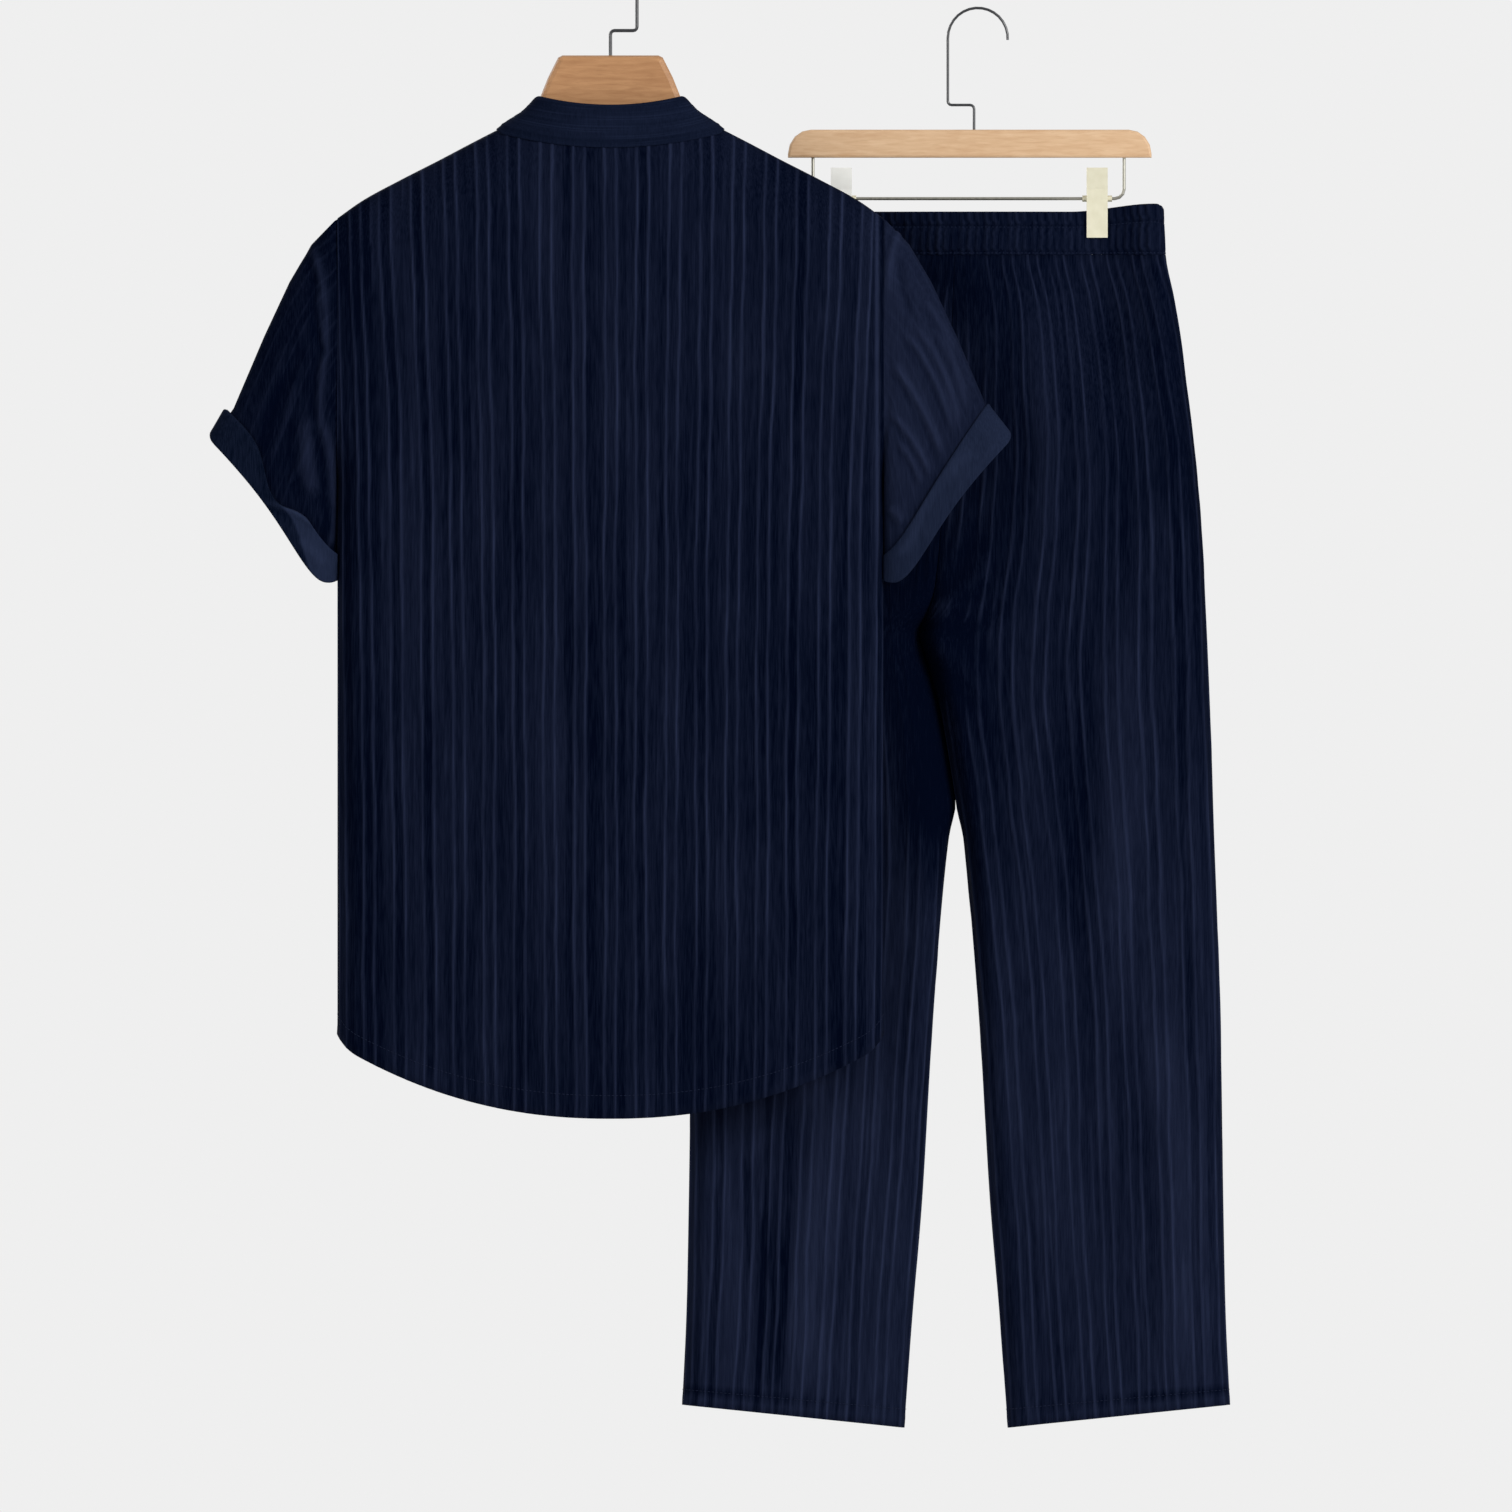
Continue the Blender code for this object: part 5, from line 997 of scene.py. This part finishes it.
def trouser_depth(x, z, side):
    """How far the cloth stands from the trousers' middle plane; x counts outward from the middle."""
    inner, outer = leg_edges(z, side)
    edge = read(TROUSERS, "z", "edge", z)
    tuck = edge + TUCK * (side < 0) * ease((z + 800.0) / 90.0) * ease((CROTCH_Z + 40.0 - z) / 60.0)
    turn_out = np.clip((x - outer + edge) / edge, 0, 1)
    turn_in = np.clip((inner + tuck - x) / tuck, 0, 1)
    shut = np.clip((CROTCH_Z + CROTCH_RISE - z) / CROTCH_RISE, 0, 1)
    depth = read(TROUSERS, "z", "half_depth", z) * clip_pinch(x * side, z)
    return depth * np.sqrt(np.maximum(1 - turn_out**2, 0)) * np.sqrt(np.maximum(1 - shut**2 * turn_in**2, 0))


def leg_panel(side, front):
    """The pleated cloth of one leg panel: its grid, tone, normals and height above the hem."""
    fractions = np.linspace(0, 1, LEG_PLEATS * LEG_STEPS + 1)
    inner, outer = leg_edges(LEG_HEM_INNER_Z, side)
    hem_x = rounded_run(float(inner), float(outer), LEG_HEM_RUN)
    hem_run = np.stack([hem_x, trouser_depth(hem_x, LEG_HEM_INNER_Z, side)], axis=1)
    hem_x = evenly_along(hem_run, fractions)[:, 0]
    climb = np.clip((hem_x - LEG_HEM_INNER_X) / (LEG_HEM_OUTER_X - LEG_HEM_INNER_X), 0, 1)
    hem = LEG_HEM_INNER_Z + (LEG_HEM_OUTER_Z - LEG_HEM_INNER_Z) * climb
    steps = np.linspace(0, 1, LEG_ROWS)
    levels = LEG_HEM_INNER_Z + (BAND_BOTTOM_Z - SEAM - LEG_HEM_INNER_Z) * steps
    runs = []
    for level in levels:
        inner, outer = leg_edges(level, side)
        x = rounded_run(float(inner), float(outer), LEG_RUN)
        runs.append(np.stack([x, trouser_depth(x, level, side)], axis=1))
    lengths = np.array([np.linalg.norm(np.diff(run, axis=0), axis=1).sum() for run in runs])
    nearness = hump(levels[:, None], levels, GUIDE_MM)
    share = (lengths * nearness.sum(axis=1) / (nearness @ lengths))[:, None]
    from_outer = 1 - fractions + (share - 1) * ease(1 - fractions / INNER_DRIFT)
    facing = 1 if front else -1
    rows = []
    for run, level, step, spots in zip(runs, levels, steps, 1 - from_outer / share):
        laid = evenly_along(run, spots)
        z = level + (hem - LEG_HEM_INNER_Z) * np.clip(1 - step / 0.12, 0, 1)
        rows.append(np.stack([laid[:, 0] * side, facing * np.maximum(laid[:, 1], SEAM / 2), z], axis=1))
    plain = np.array(rows)
    normals = outward(plain, False, -side * facing)
    z = plain[..., 2]
    salt = 120 + 30 * (side > 0) + 15 * front
    across = LEG_PLEATS * (1 - from_outer) + salt
    height, tone = pressed_pleats(across, z, 0.07, 0.07)
    lanes = LEG_FAINT_LINES * across
    lane = np.floor(lanes)
    faint = np.clip(wander(z, lane, 66, 330.0), 0, 1) * hump(lanes - lane, 0.5, 0.12)
    calm = ease((-560.0 - z) / 300.0) * (1.0 if side > 0 else 0.3)
    tone = tone * (1 - 0.22 * calm) + 0.08 * calm + 0.3 * faint
    # Near the crotch, where the pleats drift fast, they fade flat and the cloth is painted darker: painted
    # shade.
    slack_and_shade = ease(np.abs(share - 1) / 0.02) * ease((INNER_DRIFT * 1.2 - fractions) / 0.1)
    height, tone = height * (1 - slack_and_shade), tone * (1 - 0.8 * slack_and_shade)
    inward = np.abs(plain[..., 0] - read(CENTRE_SEAM, "z", "x", z))
    shade = (side < 0) * ease((z + 830.0) / 110.0) * ease((-470.0 - z) / 60.0) * ease((70.0 - inward) / 40.0)
    gather = np.exp(-((BAND_BOTTOM_Z - z) / 26.0))
    over = fractions * LEG_PANEL_MM
    ruffle = wander(over + 2.0 * wander(z, 0, salt, 50.0), 0, salt + 2, 9.0) * gather
    folds = creased(LEG_CREASES, plain[..., 0], z) * (1.0 if not front else 0.7)
    edge = ease(np.minimum(fractions, 1 - fractions) * LEG_PANEL_MM / 4.0)
    above_hem = z - hem
    band = ease((LEG_HEM_BAND - above_hem) / 1.4)
    stitched = hump(above_hem, LEG_HEM_BAND - 1.0, 1.2)
    near_top = ease((BAND_BOTTOM_Z - z) / 3.0)
    near_hem = ease((LEG_HEM_BAND + 8.0 - above_hem) / 8.0)
    puckers = wander(over + 0.1 * above_hem, 0, salt + 5, 12.0) * near_hem
    lift = (0.4 * puckers + RIDGE * height * (1 - 0.35 * band) + 0.5 * ruffle + folds
            + 0.45 * band - 0.45 * stitched)
    # Creases, gathers and puckers are painted paler on their ridges and darker in their hollows: painted
    # highlight and shade.
    tone = (tone * (1 - 0.2 * band) + 0.12 * ruffle + 0.09 * folds + 0.12 * puckers
            + 0.08 * band - 0.3 * stitched)
    hip = 1 - ease((-420.0 - z) / 600.0)
    tone = np.clip(np.maximum(tone, 0) ** (1 + 0.5 * hip) * (1.1 - 0.4 * hip) * (1 - shade), 0, 1)
    return plain + normals * (lift * edge * near_top)[..., None], tone, normals, above_hem


for word, side in (("left", -1), ("right", 1)):
    for facing, front in (("back", False), ("front", True)):
        grid, tone, normals, above_hem = leg_panel(side, front)
        name = f"trouser_{facing}_{word}"
        leg = sheet_piece(name + "_cloth", grid, tone, navy_pleats, TROUSER_PLACE, flip=(side > 0) == front)
        wear(leg, "navy_cloth", name)
        row = int(np.argmin(np.abs(above_hem[:, LEG_PLEATS * LEG_STEPS // 2] - LEG_HEM_BAND)))
        hem_stitches = stitches_on(name + "_hem_stitches", grid, normals, row, TROUSER_PLACE, 0.25)

# Waistband
# A casing of the same cloth over wide elastic, drawn up into close gathers and held by two rows of stitches.
BAND_MIDDLE_Z = -231.7
BAND_END_Z = -225.0
BAND_CORNER_X = 166.5
BAND_CORNER_WIDTH = 7.0
BAND_CORNER_DROP = 3.5
BAND_GATHERS = 112
BAND_STEPS = 6
BAND_ROWS = 34
BAND_SEAMS = (0.05, 0.66)


def band_loop(step, fractions):
    """Points round the waistband at one step up it, from the left end round the back."""
    def height(x):
        corner = np.clip((np.abs(x) - BAND_CORNER_X) / BAND_CORNER_WIDTH, 0, 1) ** 2 * BAND_CORNER_DROP
        top = BAND_MIDDLE_Z + (BAND_END_Z - BAND_MIDDLE_Z) * ease((np.abs(x) - 95.0) / 70.0)
        return BAND_BOTTOM_Z + (top - BAND_BOTTOM_Z - corner) * step

    outer = float(leg_edges(height(0.0), 1)[1])
    x = rounded_run(-outer, outer, FINE_RUN)
    z = height(x)
    side_form = trouser_depth(np.abs(x), z, 1) / clip_pinch(np.abs(x), z)
    full = np.where(np.abs(x) > PINCH_WIDTH, side_form, read(TROUSERS, "z", "half_depth", z))
    return tube_loop(x, full * clip_pinch(x, z), z, fractions)


fractions = np.arange(BAND_GATHERS * BAND_STEPS) / (BAND_GATHERS * BAND_STEPS)
steps = np.linspace(0, 1, BAND_ROWS)
plain = np.array([band_loop(step, fractions) for step in steps])
normals = outward(plain, True, 1)
across = fractions * BAND_GATHERS
sway = 0.22 * wander(steps[:, None] * 40, 0 * across, 201, 30.0) + 0.16 * wander(across, 0 * across, 203, 7.3)
lane = np.floor(across)
gather = (0.5 + 0.5 * np.cos(math.tau * (across + sway))) * (0.25 + 1.0 * chance(lane, 207))
gather = (np.roll(gather, 1, axis=1) + 2 * gather + np.roll(gather, -1, axis=1)) / 4
held = sum(hump(steps, seam, 0.035) for seam in BAND_SEAMS)[:, None]
puff = (0.5 - 0.5 * np.cos(math.tau * np.clip(steps / BAND_SEAMS[1], 0, 1)))[:, None]
lip = np.sqrt(np.clip(1 - ((steps - 0.94) / 0.06).clip(0, 1) ** 2, 0, 1))[:, None]
room_there = np.clip(np.abs(plain[..., 1]) / 8.0, 0.15, 1)
lift = (1.7 * gather * (1 - 0.55 * held) + 0.9 * puff - 0.9 * held) * room_there - 1.0 * (1 - lip)
# The gathers are painted paler on their crests and darker between them, less so where the stitches hold them:
# painted highlight and shade.
tone = np.clip(0.3 * gather * (1 - 0.5 * held) + 0.04 * chance(lane, 211), 0, 1)
grid = plain + normals * lift[..., None]
band = sheet_piece("trouser_waistband_cloth", grid, tone, navy_pleats, TROUSER_PLACE, closed=True)
wear(band, "navy_cloth", "trouser_waistband")
for word, seam in zip(("low", "high"), BAND_SEAMS):
    row = int(seam * (BAND_ROWS - 1))
    path, out = (np.concatenate([points[row], points[row][:1]]) for points in (grid, normals))
    stitch_row(f"waistband_stitches_{word}", path + TROUSER_PLACE, out, navy_thread,
                                length=2.2, gap=1.0)

# Wooden hanger
# Shaped from a plank of warm brown hardwood, edges rounded over, sanded and varnished, so its grain shows
# under a soft gloss. The grain runs along the arms.
def varnished_wood(name, dark, light, pore, grain_mm, roughness):
    """Sanded hardwood under varnish: long soft grain, fine pores and a satin gloss."""
    wood, tree, place = new_material(name)
    along = stretched(tree, place, (0.12, 1.0, 1.0))
    grain = cloudy(tree, along, 1 / (grain_mm * MM), 4.0, 0.6)
    figure = cloudy(tree, along, 1 / (grain_mm * 9 * MM))
    pores = cloudy(tree, stretched(tree, place, (0.05, 1.0, 1.0)), 1 / (0.5 * MM), 1.0)
    both = add_node(tree, "ShaderNodeMath", {"operation": "MULTIPLY_ADD", 1: 0.55}, {0: figure, 2: grain})
    body = blend(tree, spread(tree, both.outputs[0], 0.0, 1.0, 0.5, 1.05), dark, light)
    specks = spread(tree, pores, 0.0, 0.35, 0.62, 0.75)
    colour = add_node(tree, "ShaderNodeMix", {"data_type": "RGBA", 7: linear(pore)},
                      {"Factor": specks, 6: body})
    coat(tree, {"Roughness": roughness, "Specular IOR Level": 0.3},
         {"Base Color": colour.outputs[2], "Normal": dented(tree, grain, 0.15, 0.1)})
    return wood


def repaint(node, material):
    """Give a carried-over solid its own finish."""
    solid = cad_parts[node]
    solid.data.materials.clear()
    solid.data.materials.append(material)


warm_wood = varnished_wood("varnished brown hardwood", "#9A6D47", "#B88A60", "#7C5334",
                           grain_mm=3.4, roughness=0.5)
repaint("shirt_hanger_wood", warm_wood)

# Wire hooks
# Spring wire bent cold and dipped in black lacquer, pushed into a bored hole in the wood.
black_wire = mottled_gloss("black lacquered wire", "#0C0D10", "#26282D", 0.28, 0.45, {"IOR": 1.5}, scale=420.0)
repaint("shirt_hanger_hook", black_wire)
repaint("trouser_hanger_hook", black_wire)

# Clip hanger
# A planed beech bar with rounded ends, a bright drawn steel rod bent down under it, and two spring clips of
# pressed steel, plated pale gold.
pale_wood = varnished_wood("planed pale beech", "#BE9873", "#D3B390", "#A47D58",
                           grain_mm=2.6, roughness=0.55)
repaint("trouser_hanger_bar", pale_wood)

drawn_steel = mottled_gloss("bright drawn steel", "#75736B", "#A09E94", 0.4, 0.52,
                            {"Metallic": 1.0}, scale=300.0, detail=3.0)
pale_gold = mottled_gloss("pale gold plate", "#D0CBB0", "#E0DCC6", 0.34, 0.48,
                          {"Metallic": 0.45}, scale=140.0, detail=3.0)
# The left clip's front plate gets a near-white copy of the gold plate: a painted highlight where the light
# falls full on it.
painted_highlight_gold = mottled_gloss("pale gold plate with painted highlight", "#F4F3EC", "#FFFFFA", 0.4, 0.5,
                         {"Metallic": 0.1}, scale=140.0, detail=3.0)
repaint("trouser_hanger_rod", drawn_steel)
for word in ("left", "right"):
    for part in ("front", "back", "spring"):
        repaint(f"clip_{word}_{part}", painted_highlight_gold if (word, part) == ("left", "front") else pale_gold)

# Daylight room
# A plain pale room: soft light from large windows on the right and behind, a weaker fill from the left, and a
# pale floor far below.
FLOOR_Z = -1.46
FLOOR_CORNERS = ((-2.4, -2.4), (2.8, -2.4), (2.8, 2.4), (-2.4, 2.4))
world = bpy.data.worlds.new("pale room")
bpy.context.scene.world = world
world.use_nodes = True
tree = world.node_tree
tree.nodes.clear()
seen = add_node(tree, "ShaderNodeLightPath")
fill = add_node(tree, "ShaderNodeBackground", {"Color": linear("#EFEFEF"), "Strength": 0.55})
wall = add_node(tree, "ShaderNodeBackground", {"Color": linear("#EFEFEF"), "Strength": 1.0})
both = add_node(tree, "ShaderNodeMixShader",
                links={0: seen.outputs["Is Diffuse Ray"], 1: wall.outputs[0], 2: fill.outputs[0]})
add_node(tree, "ShaderNodeOutputWorld", links={"Surface": both.outputs[0]})
bpy.context.scene.view_settings.view_transform = "Standard"

CENTRE = Vector((0.1247, 0.0, -0.6858))


def soft_light(name, place, size, power):
    """A square panel of soft light that faces the middle of the set."""
    lamp = bpy.data.lights.new(name, "AREA")
    lamp.size = size
    lamp.energy = power
    holder = bpy.data.objects.new(name, lamp)
    holder.location = place
    holder.rotation_euler = (CENTRE - Vector(place)).to_track_quat("-Z", "Y").to_euler()
    bpy.context.scene.collection.objects.link(holder)


soft_light("window_right", (3.2, -3.0, 0.9), 1.6, 150.0)
soft_light("fill_left", (-3.0, -3.6, 0.4), 2.4, 40.0)
soft_light("window_behind", (-1.6, 3.6, 0.8), 2.4, 90.0)

floor_mesh = bpy.data.meshes.new("studio_floor")
floor_mesh.from_pydata([(x, y, FLOOR_Z) for x, y in FLOOR_CORNERS], [], [(0, 1, 2, 3)])
studio_floor = bpy.data.objects.new("studio_floor", floor_mesh)
bpy.context.scene.collection.objects.link(studio_floor)

# Camera
# A long lens at the height of the set's middle, square on to the backs of the garments.
FRAME_WIDTH = 1.26
DISTANCE = 60.0
lens = bpy.data.cameras.new("camera")
lens.sensor_width = 36.0
lens.lens = lens.sensor_width * DISTANCE / FRAME_WIDTH
lens.clip_end = 200.0
camera = bpy.data.objects.new("camera", lens)
camera.location = CENTRE + Vector((0.0, -DISTANCE, 0.0))
camera.rotation_euler = (math.radians(90.0), 0.0, 0.0)
bpy.context.scene.collection.objects.link(camera)
bpy.context.scene.camera = camera
